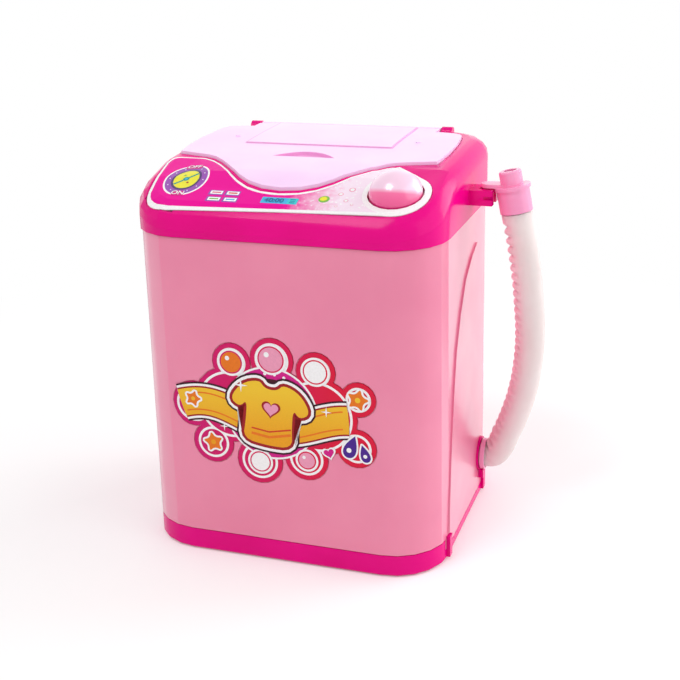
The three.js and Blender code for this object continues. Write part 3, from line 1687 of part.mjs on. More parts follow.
function contactTab(y) {
  return block(
    contactInner,
    contactFace + compartmentWall + contactTabReach,
    y - contactTabHalf,
    y + contactTabHalf,
    cellZ + contactTabLift,
    cellZ + contactTabLift + contactThickness,
  );
}
function contactCoil(side, y) {
  const reach = -cellStart + gap + cellSpringWire;
  const coil = coilPoints(
    cellRadius / 2,
    cellSpringRadius,
    contactInner + cellSpringWire / 2,
    reach,
    cellSpringTurns,
  );
  const geometry = loft(sweptRings(coil, cellSpringWire, 5));
  geometry.rotateY(side * (Math.PI / 2));
  geometry.translate(0, y, cellZ);
  return toSolid(geometry);
}
piece('battery_contact_plus', join([contactPlate(1, cellY[0], cellY[0]), contactTab(cellY[0])]), brass);
piece('battery_contact_minus', join([
  contactPlate(1, cellY[1], cellY[1]),
  contactTab(cellY[1]),
  contactCoil(1, cellY[1]),
]), brass);
piece('battery_contact_bridge', join([
  contactPlate(-1, cellY[0], cellY[1]),
  contactCoil(-1, cellY[0]),
]), brass);

// Wires between the contacts, the switch and the motor
function wire(route) {
  const section = new THREE.Shape(Array.from({ length: wireSides }, (unused, k) => {
    const angle = (k / wireSides) * Math.PI * 2;
    return new THREE.Vector2(wireRadius * Math.cos(angle), wireRadius * Math.sin(angle));
  }));
  const curve = new THREE.CatmullRomCurve3(route.map(([x, y, z]) => new THREE.Vector3(x, y, z)));
  return toSolid(new THREE.ExtrudeGeometry(section, {
    steps: route.length * 2,
    bevelEnabled: false,
    extrudePath: curve,
  }));
}
const tabEnd = contactFace + compartmentWall + contactTabReach + gap + wireRadius;
const tabMiddle = cellZ + contactTabLift + contactThickness / 2;
// Places along the wires: in shares of the body, and round the battery bay in cell radii
const bodyPlace = ([x, y, z]) => [x * bodySide, y * (footDepth / 2), z * casingTopHeight];
const bayEnd = compartmentHalfLength + compartmentWall;
const bayRear = compartmentY + compartmentHalfWidth + compartmentWall;
const bayPlace = ([x, y, z]) => [
  bayEnd + x * cellRadius,
  bayRear + y * cellRadius,
  z * compartmentTop,
];
const switchFeedBayShares = [
  [0.9437, -3.2394, 0.9890],
].map(bayPlace);
const switchFeedShares = [
  [0.6835, -0.5649, 0.2881], [0.7374, -0.5230, 0.5085],
  [0.7374, -0.5230, 0.8051], [0.7104, -0.4770, 0.9068],
].map(bodyPlace);
const motorFeedShares = [
  [0.6187, -0.4603, 0.8814], [0.6655, -0.4393, 0.5932],
  [0.6115, -0.3347, 0.3390],
].map(bodyPlace);
const motorFeedBayShares = [
  [-0.8592, 0.7042, 0.8791], [-2.4085, 1.6901, 0.3516],
].map(bayPlace);
const motorReturnBayShares = [
  [0.9155, -1.0563, 0.7473], [0.5493, 0.2817, 0.5220],
  [-1.4225, 0.8451, 0.2967], [-4.2394, 0.7042, 0.2747],
  [-5.3662, 1.6901, 0.2747],
].map(bayPlace);
function switchTerminal(side) {
  const point = new THREE.Vector3(side * terminalSpread, terminalSide, switchBottom - terminalDrop);
  return point.applyMatrix4(panelFrame).toArray();
}
function motorTerminal(side, drop) {
  return [side * motorTerminalX, tubY, endCapBottom - gap - wireRadius - drop];
}
piece('switch_feed_wire', wire([
  [tabEnd, cellY[0], tabMiddle], ...switchFeedBayShares, ...switchFeedShares, switchTerminal(1),
]), copperRed);
piece('motor_feed_wire', wire([
  switchTerminal(-1), ...motorFeedShares, ...motorFeedBayShares,
  motorTerminal(1, motorTerminalDrop * 2), motorTerminal(1, motorTerminalDrop), motorTerminal(1, 0),
]), copperRed);
piece('motor_return_wire', wire([
  [tabEnd, cellY[1], tabMiddle], ...motorReturnBayShares,
  motorTerminal(-1, motorTerminalDrop * 2), motorTerminal(-1, motorTerminalDrop), motorTerminal(-1, 0),
]), black);

export default group;
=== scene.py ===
# %% [markdown]
# # A toy washing machine
#
# The real thing is a small battery toy: a mid pink casing between a hot pink base and a hot pink
# top, a pale lid over a tub, a domed button, two printed films and a ribbed hose on its side.
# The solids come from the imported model. This lesson gives them their finishes, and models
# what plain solids can't show: the hose's ribs, the prints, the button's gloss and the screws.

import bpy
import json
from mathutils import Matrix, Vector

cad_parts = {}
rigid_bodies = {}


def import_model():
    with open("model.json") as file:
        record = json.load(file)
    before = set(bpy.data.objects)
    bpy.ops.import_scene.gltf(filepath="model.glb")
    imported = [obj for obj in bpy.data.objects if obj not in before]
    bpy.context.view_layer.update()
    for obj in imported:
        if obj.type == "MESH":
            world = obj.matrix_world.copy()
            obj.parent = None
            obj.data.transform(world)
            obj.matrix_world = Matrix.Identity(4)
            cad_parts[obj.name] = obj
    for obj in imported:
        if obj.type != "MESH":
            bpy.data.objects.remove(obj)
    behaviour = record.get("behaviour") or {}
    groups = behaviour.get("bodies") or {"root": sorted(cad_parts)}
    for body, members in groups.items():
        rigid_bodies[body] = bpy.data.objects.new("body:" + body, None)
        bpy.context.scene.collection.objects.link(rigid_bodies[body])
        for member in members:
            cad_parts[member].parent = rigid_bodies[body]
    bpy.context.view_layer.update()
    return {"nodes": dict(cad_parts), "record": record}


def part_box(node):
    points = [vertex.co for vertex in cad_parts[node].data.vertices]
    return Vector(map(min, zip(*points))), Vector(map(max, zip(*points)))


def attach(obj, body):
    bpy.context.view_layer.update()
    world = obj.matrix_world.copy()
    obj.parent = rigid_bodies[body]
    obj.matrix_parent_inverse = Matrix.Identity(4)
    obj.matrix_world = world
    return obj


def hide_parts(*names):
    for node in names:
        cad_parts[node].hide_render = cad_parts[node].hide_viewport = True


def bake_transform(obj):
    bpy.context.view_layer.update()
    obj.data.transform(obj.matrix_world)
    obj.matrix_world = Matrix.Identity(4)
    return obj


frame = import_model()

# %% Libraries and units
import json
import math

import bpy
from mathutils import Matrix, Vector
from mathutils.bvhtree import BVHTree

MM = 0.001
nodes = frame["nodes"]
body_of_node = {
    node: body
    for body, members in frame["record"]["behaviour"]["bodies"].items()
    for node in members
}

# %% [markdown]
# ## The camera
#
# A picture and a model can only be compared when both are seen from the same place. The
# machine's straight edges give that place: about 19 degrees to its right and 20 degrees up,
# from under half a metre away, so that the edges draw together towards the bottom.

# %% Camera at the photograph's angle
camera_azimuth = math.radians(19.039)
camera_elevation = math.radians(19.816)
camera_roll = math.radians(-1.403)
camera_distance = 0.4492
camera_target = Vector((0, 0, 0.070))
camera_slide = (0.006269, -0.002002)

back = Vector((
    math.sin(camera_azimuth) * math.cos(camera_elevation),
    -math.cos(camera_azimuth) * math.cos(camera_elevation),
    math.sin(camera_elevation),
))
level = Vector((math.cos(camera_azimuth), math.sin(camera_azimuth), 0))
upward = back.cross(level)
camera_right = math.cos(camera_roll) * level + math.sin(camera_roll) * upward
camera_up = -math.sin(camera_roll) * level + math.cos(camera_roll) * upward
slide = camera_slide[0] * level + camera_slide[1] * upward
camera_place = camera_target + slide + camera_distance * back

bpy.ops.object.camera_add(location=camera_place)
camera = bpy.context.object
camera.name = "photo_camera"
turn = Matrix((camera_right, camera_up, back)).transposed().to_4x4()
camera.matrix_world = Matrix.Translation(camera_place) @ turn
camera.data.sensor_width = 36
camera.data.lens = 63.35
camera.data.clip_start = 0.01
bpy.context.scene.camera = camera
bpy.context.scene.view_settings.view_transform = "Standard"
print("camera at", [round(c, 4) for c in camera_place])

# %% [markdown]
# ## Small helpers
#
# Blender's operators act on whatever is selected, so each step starts from an empty
# selection. These helpers do that, and finish a piece: modifiers applied, place in the mesh,
# and one material and the solid that it stands for.

# %% Selection, modifiers and places
def only(*objects):
    bpy.ops.object.select_all(action="DESELECT")
    for item in objects:
        item.select_set(True)
    bpy.context.view_layer.objects.active = objects[0]


def apply_modifier(piece, kind, **settings):
    only(piece)
    bpy.ops.object.modifier_add(type=kind)
    modifier = piece.modifiers[-1]
    for key, value in settings.items():
        setattr(modifier, key, value)
    bpy.ops.object.modifier_apply(modifier=modifier.name)


def copy_of(item):
    only(item)
    bpy.ops.object.duplicate()
    return bpy.context.object


def start_editing(piece):
    only(piece)
    bpy.ops.object.mode_set(mode="EDIT")
    bpy.ops.mesh.select_all(action="SELECT")


def stop_editing():
    bpy.ops.object.mode_set(mode="OBJECT")


def face_outwards():
    """The last step on a closed mesh being edited."""
    bpy.ops.mesh.select_all(action="SELECT")
    bpy.ops.mesh.normals_make_consistent(inside=False)
    stop_editing()


def remove(*pieces):
    only(*pieces)
    bpy.ops.object.delete()


def filled_circle(count, radius, height=0):
    bpy.ops.object.select_all(action="DESELECT")
    bpy.ops.mesh.primitive_circle_add(vertices=count, radius=radius, fill_type="NGON",
                                      location=(0, 0, height))
    return bpy.context.object


def settle(piece):
    """Leaves the piece at the origin, unturned and unscaled, with its place in its mesh."""
    only(piece)
    bpy.ops.object.transform_apply(location=True, rotation=True, scale=True)


def smooth(piece, degrees):
    only(piece)
    bpy.ops.object.shade_smooth_by_angle(angle=math.radians(degrees))


def stand_for(piece, node, material, slot):
    piece.data.materials.clear()
    piece.data.materials.append(material)
    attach(piece, body_of_node[node])
    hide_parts(node)


# %% [markdown]
# ## Moulded plastic
#
# Toy plastic is never one flat colour. The pigment swirls a little, the surface has faint
# sink waves where the wall cooled, and its gloss changes from place to place. One function
# builds that from noise on object coordinates, and each pink gets its own numbers.

# %% Colours and the plastic recipe
def linear(code):
    """A web colour as the linear numbers that a shader takes."""
    channels = [int(code[i:i + 2], 16) / 255 for i in (1, 3, 5)]
    mixed = [c / 12.92 if c <= 0.04045 else ((c + 0.055) / 1.055) ** 2.4 for c in channels]
    return (*mixed, 1.0)


def blank_material(name):
    material = bpy.data.materials.new(name)
    material.use_nodes = True
    nodes_in_it = material.node_tree.nodes
    place = nodes_in_it.new("ShaderNodeTexCoord").outputs["Object"]
    return material, nodes_in_it["Principled BSDF"], place


def fill(node, sockets):
    """Links what is worked out to the node's sockets, and sets the rest as plain values."""
    for name, value in sockets.items():
        if isinstance(value, bpy.types.NodeSocket):
            node.id_data.links.new(value, node.inputs[name])
        else:
            node.inputs[name].default_value = value
    return node.outputs


def beside(socket, kind, sockets, **settings):
    """A new node in the same tree as a socket."""
    node = socket.id_data.nodes.new(kind)
    for key, value in settings.items():
        setattr(node, key, value)
    return fill(node, sockets)


X, Z = 0, 2


def axes(place):
    """The X, Y and Z of a place."""
    return tuple(beside(place, "ShaderNodeSeparateXYZ", {"Vector": place}))


def calculate(operation, *values):
    """One sum on a worked out value and others, or plain numbers."""
    sockets = dict(enumerate(values))
    return beside(values[0], "ShaderNodeMath", sockets, operation=operation)["Value"]


def noise(place, scale, detail=2.0, stretch=None):
    if stretch:
        place = beside(place, "ShaderNodeMapping", {"Scale": stretch, "Vector": place})["Vector"]
    sockets = {"Scale": scale, "Detail": detail, "Vector": place}
    return beside(place, "ShaderNodeTexNoise", sockets)["Fac"]


def ranged(value, low, high, start=0.35, end=0.65):
    """The value from start to end, drawn out to run from low to high."""
    return beside(value, "ShaderNodeMapRange", {
        "From Min": start, "From Max": end, "To Min": low, "To Max": high, "Value": value,
    })["Result"]


def mixed_colour(factor, first, second):
    first_colour, second_colour, mixed = 6, 7, 2
    sockets = {"Factor": factor, first_colour: first, second_colour: second}
    return beside(factor, "ShaderNodeMix", sockets, data_type="RGBA")[mixed]


def bumped(height, strength, distance):
    sockets = {"Strength": strength, "Distance": distance, "Height": height}
    return beside(height, "ShaderNodeBump", sockets)["Normal"]


def moulded(name, light, deep, gloss=(0.26, 0.36), coat=0.15, shine=0.3, glow=0.0,
            coat_index=1.5, coat_roughness=0.18):
    material, shader, place = blank_material(name)
    swirl = ranged(noise(place, 38, 3), 0, 1)
    fill(shader, {
        "Base Color": mixed_colour(swirl, linear(deep), linear(light)),
        "Roughness": ranged(noise(place, 60, 1), *gloss),
        "Normal": bumped(noise(place, 40, 1), 0.1, 0.0006),
        "Specular IOR Level": shine,
        "Coat Weight": coat, "Coat Roughness": coat_roughness, "Coat IOR": coat_index,
        "Subsurface Weight": glow, "Subsurface Radius": (1.0, 0.45, 0.6),
        "Subsurface Scale": 0.002,
    })
    return material


hot_pink = moulded("hot_pink_moulding", "#F0008A", "#E80082",
                   coat=1.0, shine=0.0, coat_index=1.22)
mid_pink = moulded("mid_pink_moulding", "#F385A8", "#EF7EA3",
                   gloss=(0.28, 0.38), coat=1.0, shine=0.5, glow=0.1)
pale_pink = moulded("pale_pink_moulding", "#FFDEFF", "#FED7FD",
                    gloss=(0.32, 0.42), coat=0.1, glow=0.1)
light_pink = moulded("light_pink_moulding", "#FFA8D0", "#FC9FCA",
                     gloss=(0.22, 0.30), coat=0.3, glow=0.1)
button_pink = moulded("button_pink_moulding", "#FBD2EA", "#F9C8E4",
                      gloss=(0.14, 0.2), coat=1.0, shine=0.9, coat_roughness=0.28)
white_plastic = moulded("white_moulding", "#F3F0F1", "#EAE6E8", gloss=(0.42, 0.52), coat=0.05)
black_plastic = moulded("black_moulding", "#2B2A2C", "#222123", gloss=(0.45, 0.55), coat=0.0)
red_insulation = moulded("red_insulation", "#B5312B", "#A62A25", gloss=(0.45, 0.55), coat=0.0)
soft_rubber = moulded("soft_rubber", "#3A383B", "#2F2D30", gloss=(0.7, 0.82), coat=0.0)
print("pinks:", hot_pink.name, mid_pink.name, pale_pink.name, light_pink.name, button_pink.name)

# %% [markdown]
# ## Painted shade on the light mouldings
#
# Light plastic gets painted shade here: a deeper colour along the step of the lid's raised
# panel, in its finger recess, and on the button's dome where that faces forwards and down,
# which also stands for the dome's reflection of the pink cap. Each mask is worked out from
# the place alone, so the colour stays on the piece.

# %% A colour over a moulding's own
def paint_shade_over(material, mask_maker, colour):
    """Lays a painted shade colour over a moulding's own where the mask is 1."""
    shader = material.node_tree.nodes["Principled BSDF"]
    own = shader.inputs["Base Color"].links[0].from_socket
    coordinates = next(n for n in material.node_tree.nodes if n.type == "TEX_COORD")
    mask = mask_maker(*axes(coordinates.outputs["Object"]))
    fill(shader, {"Base Color": mixed_colour(mask, own, linear(colour))})


def distance_from(value, middle):
    return calculate("ABSOLUTE", calculate("SUBTRACT", value, middle))


# %% The lid's step and finger recess
lid_middle_x = -2.0 * MM
step_middle_y, step_half_width, step_half_depth = 23.0 * MM, 27.8 * MM, 17.4 * MM
recess_start_y, recess_depth, recess_half_width = -9.4 * MM, 6.2 * MM, 11.4 * MM
# Half way through the lid's wall, which rises towards the back
wall_middle_z, wall_rise = 138.2 * MM, 0.045


def upper_side(mask, y, z):
    level_z = calculate("MULTIPLY_ADD", y, -wall_rise, z)
    above = ranged(level_z, 0, 1, wall_middle_z - 0.05 * MM, wall_middle_z + 0.05 * MM)
    return calculate("MULTIPLY", mask, above)


def painted_step_shade(x, y, z):
    across = calculate("SUBTRACT", distance_from(x, lid_middle_x), step_half_width)
    along = calculate("SUBTRACT", distance_from(y, step_middle_y), step_half_depth)
    edge = calculate("ABSOLUTE", calculate("MAXIMUM", across, along))
    return upper_side(ranged(edge, 0.8, 0, 0.3 * MM, 0.6 * MM), y, z)


def painted_recess_shade(x, y, z):
    share = calculate("MULTIPLY", distance_from(x, lid_middle_x), 1 / recess_half_width)
    arch = calculate("MULTIPLY_ADD", calculate("MULTIPLY", share, share),
                     -recess_depth, recess_depth)
    depth = calculate("SUBTRACT", y, recess_start_y)
    under = ranged(calculate("SUBTRACT", arch, depth), 0, 1, -0.4 * MM, 0)
    over = ranged(depth, 0, 1, -0.2 * MM, 0.1 * MM)
    mask = calculate("MULTIPLY", calculate("MULTIPLY", under, over), 0.85)
    return upper_side(mask, y, z)


# Painted shade: deeper pink along the raised panel's step and in the finger recess
paint_shade_over(pale_pink, painted_step_shade, "#F3A8DC")
paint_shade_over(pale_pink, painted_recess_shade, "#F6A6DC")
print("lid step", round(2 * step_half_width, 4), "by", round(2 * step_half_depth, 4))

# %% The button's dome
panel_slope = math.radians(20.4)
button_radius = 8.9 * MM
button_rise = 7.5 * MM
button_x, button_y = 37.7, -30.8
cap_front_y, cap_front_z = -47.5, 126.7
button_z = cap_front_z + (button_y - cap_front_y) * math.tan(panel_slope)
button_centre = Vector((button_x, button_y, button_z)) * MM
# Per metre behind and above the dome's centre
lean_behind, lean_above = 35.7, 136.7


def dome_lean(y, z):
    """About how far the dome faces up: on a dome the way it faces follows from the place."""
    behind = calculate("SUBTRACT", y, button_centre.y)
    above = calculate("SUBTRACT", z, button_centre.z)
    backward = calculate("MULTIPLY", behind, lean_behind)
    return calculate("MULTIPLY_ADD", above, lean_above, backward)


def painted_dome_shade(_, y, z):
    return ranged(dome_lean(y, z), 1, 0, -0.02, 0.2)


def painted_foot_shade(_, y, z):
    return ranged(dome_lean(y, z), 1, 0, -0.75, -0.05)


# Painted shade and reflection of the pink cap: deeper pink on the dome's lower half, deepest at its
# foot
paint_shade_over(button_pink, painted_dome_shade, "#FC589C")
paint_shade_over(button_pink, painted_foot_shade, "#F61488")
print("button centre", [round(c, 5) for c in button_centre])

# %% [markdown]
# ## Metals and the battery sleeve
#
# The screws and the motor are zinc plated and the contacts are spring brass. Both show
# fine lines from drawing and rolling. The cell's sleeve is dark with a copper band at its
# positive end, as plain cells have it, and it carries no name.

# %% Metal and sleeve materials
def drawn_metal(name, light, deep, stretch):
    material, shader, place = blank_material(name)
    lines = noise(place, 900, 3, stretch)
    fill(shader, {
        "Base Color": mixed_colour(ranged(lines, 0, 1), linear(deep), linear(light)),
        "Roughness": ranged(lines, 0.24, 0.38),
        "Normal": bumped(lines, 0.1, 0.0001),
        "Metallic": 1.0,
    })
    return material


steel = drawn_metal("zinc_plated_steel", "#C9CCD0", "#AEB2B6", (1, 1, 0.08))
brass = drawn_metal("spring_brass", "#D2B25C", "#B8943C", (1, 0.08, 1))


def cell_sleeve(name, end_sign):
    material, shader, place = blank_material(name)
    band_start = 13 * MM * end_sign
    along = axes(place)[X]
    band = ranged(along, 0, 1, band_start, band_start + 0.2 * MM * end_sign)
    fill(shader, {
        "Base Color": mixed_colour(band, linear("#23503A"), linear("#B9763F")),
        "Roughness": ranged(noise(place, 200, 3), 0.2, 0.3),
        "Coat Weight": 0.5,
    })
    return material


cell_sleeves = {1: cell_sleeve("cell_sleeve_right", 1), 2: cell_sleeve("cell_sleeve_left", -1)}
print("metals:", steel.name, brass.name, "sleeves:", len(cell_sleeves))

# %% [markdown]
# ## Printing inks
#
# The two films are screen printed: flat spot colours laid one over another, under a clear
# gloss. Each ink has a faint grain, and some run from one colour to another.

# %% Inks
def print_with(shader, place, tone, shine=0.15):
    """An ink's colour, under the film's clear gloss."""
    fill(shader, {
        "Base Color": tone,
        "Roughness": ranged(noise(place, 220, 3), 0.28, 0.36),
        "Specular IOR Level": shine, "Coat Weight": shine, "Coat Roughness": 0.15,
    })


def ink(name, colour, second=None, axis=X, span=(0, 1)):
    """A spot colour, which may run to a second one along an axis."""
    material, shader, place = blank_material(f"{name}_ink")
    grain = ranged(noise(place, 1400, 2), 0, 1)
    base = linear(colour)
    darker = tuple(c * 0.94 for c in base[:3]) + (1.0,)
    tone = mixed_colour(grain, darker, base)
    if second:
        run = ranged(axes(place)[axis], 0, 1, *span)
        tone = mixed_colour(run, tone, linear(second))
    print_with(shader, place, tone)
    return material


crimson = ink("crimson", "#D50E70", "#E00F3C", X, (-0.03, 0.02))
white_ink = ink("white", "#FFFDFE")
magenta = ink("magenta", "#D91A8C")
maroon = ink("maroon", "#4C1020")
purple = ink("purple", "#4C2390")
orange = ink("orange", "#EF7B1E")
orange_red = ink("orange_red", "#D8401F")
golden = ink("golden", "#F3A51C", "#F6C832", Z, (0.048, 0.066))
dark_red = ink("dark_red", "#A31822")
rose = ink("rose", "#F4A0BE")
dial_purple = ink("dial_purple", "#9A50B4")
dial_dark = ink("dial_dark", "#4F3A6E")
dial_yellow = ink("dial_yellow", "#F3EA35")
teal = ink("teal", "#1E9C8C")
green = ink("green", "#7FBF4B")
sky = ink("sky", "#41B8E6")
deep_sky = ink("deep_sky", "#1B6C99")
aqua = ink("aqua", "#38CFD6")
red_bar = ink("red_bar", "#DB5377")
black_line = ink("dark_line", "#3A1020")
print("inks:", sum(m.name.endswith("_ink") for m in bpy.data.materials))

# %% [markdown]
# ## The ribbed drain hose
#
# It is one blow-moulded tube of milky plastic. Its ribs show only on the side towards the
# body, and fade to a smooth back, because it is moulded already bent. It stands up by its own
# stiffness between a wall fitting and the fork. A mesh tube along the route is the only way to
# fade the ribs round the section, so rings are placed along a smooth curve and bridged.

# %% The hose's route and facts
hose_radius = 5.4 * MM
cuff_radius = 4.9 * MM
hose_wall = 1.0 * MM
rib_count = 30
rib_depth = 1.35 * MM
route_points = [Vector(p) * MM for p in (
    (48.9, 20.8, 19.2), (52.5, 20.8, 19.2), (56.0, 20.8, 19.2), (58.9, 20.8, 19.2),
    (60.6, 20.8, 19.4), (62.8, 20.6, 21.4), (64.9, 20.0, 25.4), (66.7, 19.2, 30.4),
    (68.7, 18.4, 35.3), (71.7, 16.6, 44.6), (73.9, 14.6, 53.8), (75.2, 12.5, 62.5),
    (76.0, 10.3, 71.3), (76.1, 8.2, 79.7), (75.8, 6.3, 87.9), (75.3, 4.9, 95.6),
    (74.4, 3.9, 103.2), (73.2, 3.5, 110.4), (72.2, 3.5, 115.4), (71.2, 3.5, 120.4),
)]


def smooth_route(points, per_span=24):
    """Points of the even curve that passes through every given point."""
    padded = [2 * points[0] - points[1], *points, 2 * points[-1] - points[-2]]
    out = []
    for i in range(1, len(padded) - 2):
        p0, p1, p2, p3 = padded[i - 1:i + 3]
        for step in range(per_span):
            t = step / per_span
            m1, m2 = (p2 - p0) / 2, (p3 - p1) / 2
            out.append(
                (2 * t**3 - 3 * t**2 + 1) * p1 + (t**3 - 2 * t**2 + t) * m1
                + (-2 * t**3 + 3 * t**2) * p2 + (t**3 - t**2) * m2
            )
    return out + [points[-1].copy()]


hose_line = smooth_route(route_points)
hose_run = [0.0]
for a, b in zip(hose_line, hose_line[1:]):
    hose_run.append(hose_run[-1] + (b - a).length)
hose_length = hose_run[-1]
print("hose length", round(hose_length, 4))


def along_hose(distance):
    """The hose's middle and its direction at a distance from its root."""
    distance = min(max(distance, 0), hose_length)
    i = next((k for k, run in enumerate(hose_run) if run >= distance), len(hose_run) - 1)
    i = max(i, 1)
    share = (distance - hose_run[i - 1]) / max(hose_run[i] - hose_run[i - 1], 1e-9)
    low, high = max(i - 2, 0), min(i + 1, len(hose_line) - 1)
    direction = (hose_line[high] - hose_line[low]).normalized()
    return hose_line[i - 1].lerp(hose_line[i], share), direction


# %% Rings of the hose, bridged into a tube with a bore
hose_sides = 40
cuff_length = 2 * hose_radius
flare_length = 2.2 * MM
flare_steps = 4
smooth_side = 0.35
rib_start = cuff_length + hose_radius / 2
rib_pitch = (hose_length - rib_start - hose_radius / 2) / rib_count


def hose_ring(distance, radius, valley):
    """One ring, drawn in by the valley on its inner side only."""
    centre, along = along_hose(distance)
    across = Vector((0, 1, 0))
    across = (across - across.dot(along) * along).normalized()
    inner = along.cross(across)
    ring = []
    for k in range(hose_sides):
        angle = 2 * math.pi * k / hose_sides
        fade = max(0.0, (math.sin(angle) - smooth_side) / (1 - smooth_side))
        reach = radius - valley * fade
        ring.append(centre + reach * (math.cos(angle) * across + math.sin(angle) * inner))
    return ring


rings = [hose_ring(0, cuff_radius, 0), hose_ring(cuff_length, cuff_radius, 0)]
for step in range(1, flare_steps + 1):
    share = step / flare_steps
    lift = (1 - math.cos(math.pi * share)) / 2
    flare = cuff_radius + lift * (hose_radius - cuff_radius)
    rings.append(hose_ring(cuff_length + share * flare_length, flare, 0))
rib_steps = 8
for i in range(rib_count * rib_steps + 1):
    phase = i / rib_steps
    # A rounded crest and a narrower valley, as the mould leaves them
    valley = ((1 - math.cos(2 * math.pi * phase)) / 2) ** 1.4
    rings.append(hose_ring(rib_start + phase * rib_pitch, hose_radius, rib_depth * valley))
rings.append(hose_ring(hose_length, hose_radius, 0))
# And back through the bore, which clears the valleys
rings.append(hose_ring(hose_length, hose_radius - hose_wall, 0))
bore_radius = hose_radius - rib_depth - hose_wall / 2
for i in range(rib_count * 2, -1, -1):
    rings.append(hose_ring(rib_start + i / 2 * rib_pitch, bore_radius, 0))
for distance in (cuff_length, 0):
    rings.append(hose_ring(distance, cuff_radius - hose_wall, 0))

hose_points = [tuple(point) for ring in rings for point in ring]
hose_faces = []
for i in range(len(rings)):
    here, there = i * hose_sides, ((i + 1) % len(rings)) * hose_sides
    for k in range(hose_sides):
        n = (k + 1) % hose_sides
        hose_faces.append((here + k, here + n, there + n, there + k))
hose_mesh = bpy.data.meshes.new("ribbed_hose")
hose_mesh.from_pydata(hose_points, [], hose_faces)
hose = bpy.data.objects.new("ribbed_hose", hose_mesh)
bpy.context.collection.objects.link(hose)
start_editing(hose)
face_outwards()
smooth(hose, 50)
print("hose faces", len(hose.data.polygons))

# %% The milky plastic of the hose
milky, shader, place = blank_material("milky_polyethylene")
cloud = ranged(noise(place, 60, 3), 0, 1)
fill(shader, {
    "Base Color": mixed_colour(cloud, linear("#FAE1DF"), linear("#FFE8E6")),
    "Roughness": ranged(noise(place, 300, 3), 0.38, 0.5),
    "Normal": bumped(noise(place, 900, 3), 0.05, 0.0003),
    "Subsurface Weight": 0.6, "Subsurface Radius": (1.0, 0.85, 0.85), "Subsurface Scale": 0.005,
})
hose.data.materials.append(milky)
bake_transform(hose)
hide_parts("drain_hose")
print("hose of", milky.name)

# %% [markdown]
# ## Smooth skins over the moulded parts
#
# A mould leaves curves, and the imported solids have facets. Each visible solid is copied, its
# loose triangles are joined, and its normals follow the curves while flats and sharp
# edges stay as they are. The solid itself is never changed.

# %% Smooth copies that stand for the moulded solids
weld_distance, sliver_width = 0.01 * MM, 0.02 * MM
flat_angle, bevel_angle, smooth_angle = 0.4, 40, 26


def smooth_skin(node, name, material, slot, bevel):
    skin = copy_of(nodes[node])
    skin.name = skin.data.name = name
    start_editing(skin)
    bpy.ops.mesh.remove_doubles(threshold=weld_distance)
    bpy.ops.mesh.dissolve_degenerate(threshold=sliver_width)
    bpy.ops.mesh.select_all(action="SELECT")
    bpy.ops.mesh.dissolve_limited(angle_limit=math.radians(flat_angle))
    stop_editing()
    if bevel:
        apply_modifier(skin, "BEVEL", width=bevel, segments=2, limit_method="ANGLE",
                       angle_limit=math.radians(bevel_angle), use_clamp_overlap=True)
    smooth(skin, smooth_angle)
    apply_modifier(skin, "WEIGHTED_NORMAL", keep_sharp=True, weight=60)
    stand_for(skin, node, material, slot)
    print(name, len(skin.data.polygons), "faces")
    return skin


for node, name, material, slot, bevel in (
    ("outer_casing", "casing_skin", mid_pink, "mid_pink", 0),
    ("top_frame", "top_skin", hot_pink, "hot_pink", 0),
    ("base_tray", "tray_skin", hot_pink, "hot_pink", 0),
    ("lid", "lid_skin", pale_pink, "pale_pink", 0.25),
    ("hose_end_fitting", "fitting_skin", light_pink, "light_pink", 0.2),
    ("hose_ring", "ring_skin", light_pink, "light_pink", 0.2),
    ("drain_outlet", "outlet_skin", hot_pink, "hot_pink", 0.2),
    ("wash_tub", "tub_skin", white_plastic, "white_plastic", 0),
    ("pulsator", "pulsator_skin", mid_pink, "mid_pink", 0.2),
):
    smooth_skin(node, name, material, slot, bevel * MM)

# %% Finishes for the solids that stay as they are
kept_finishes = {
    "battery_door": hot_pink, "shaft_seal": soft_rubber,
    "switch_body": black_plastic, "motor_return_wire": black_plastic,
    "switch_feed_wire": red_insulation, "motor_feed_wire": red_insulation,
    "battery_cell_1": cell_sleeves[1], "battery_cell_2": cell_sleeves[2],
    "front_sticker": crimson, "panel_sticker": white_ink,
}
for node, item in nodes.items():
    if "screw" in node or node in ("button_spring", "motor_can", "motor_shaft"):
        kept_finishes.setdefault(node, steel)
    elif "contact" in node:
        kept_finishes.setdefault(node, brass)
    kept_finishes.setdefault(node, white_plastic)
    if not item.hide_render:
        item.data.materials.clear()
        item.data.materials.append(kept_finishes[node])
print("solids with a finish:", len(kept_finishes))

# %% [markdown]
# ## The power button
#
# The button is the glossiest piece: a fat dome that catches one soft highlight, with a thin
# dark gap round it. A circle is drawn up ring by ring, as on a lathe, so that its curve is
# even, and then turned to stand square on the sloping panel. Its hidden clips and stem are
# the solid's own lower half.

# %% Dome drawn up from a circle
panel_turn = Matrix.Translation(button_centre) @ Matrix.Rotation(panel_slope, 4, "X")
dome_steps = 18
skirt_depth = 1.2 * MM


def draw_up(name, rings, sides):
    """A closed round piece: each ring is (radius, height), from the bottom to the top."""
    radius, height = rings[0]
    piece = filled_circle(sides, radius, height)
    piece.name = piece.data.name = name
    settle(piece)
    start_editing(piece)
    for next_radius, next_height in rings[1:]:
        rise = (0, 0, next_height - height)
        bpy.ops.mesh.extrude_region_move(TRANSFORM_OT_translate={"value": rise})
        share = next_radius / radius
        bpy.ops.transform.resize(value=(share, share, 1), center_override=(0, 0, next_height))
        radius, height = next_radius, next_height
    face_outwards()
    return piece


dome_rings = [(button_radius, -skirt_depth)]
for step in range(dome_steps):
    angle = step / dome_steps * math.pi / 2
    dome_rings.append((button_radius * math.cos(angle), button_rise * math.sin(angle)))
dome = draw_up("power_dome", dome_rings, 72)
dome.matrix_world = panel_turn
settle(dome)
print("dome rings", len(dome_rings))

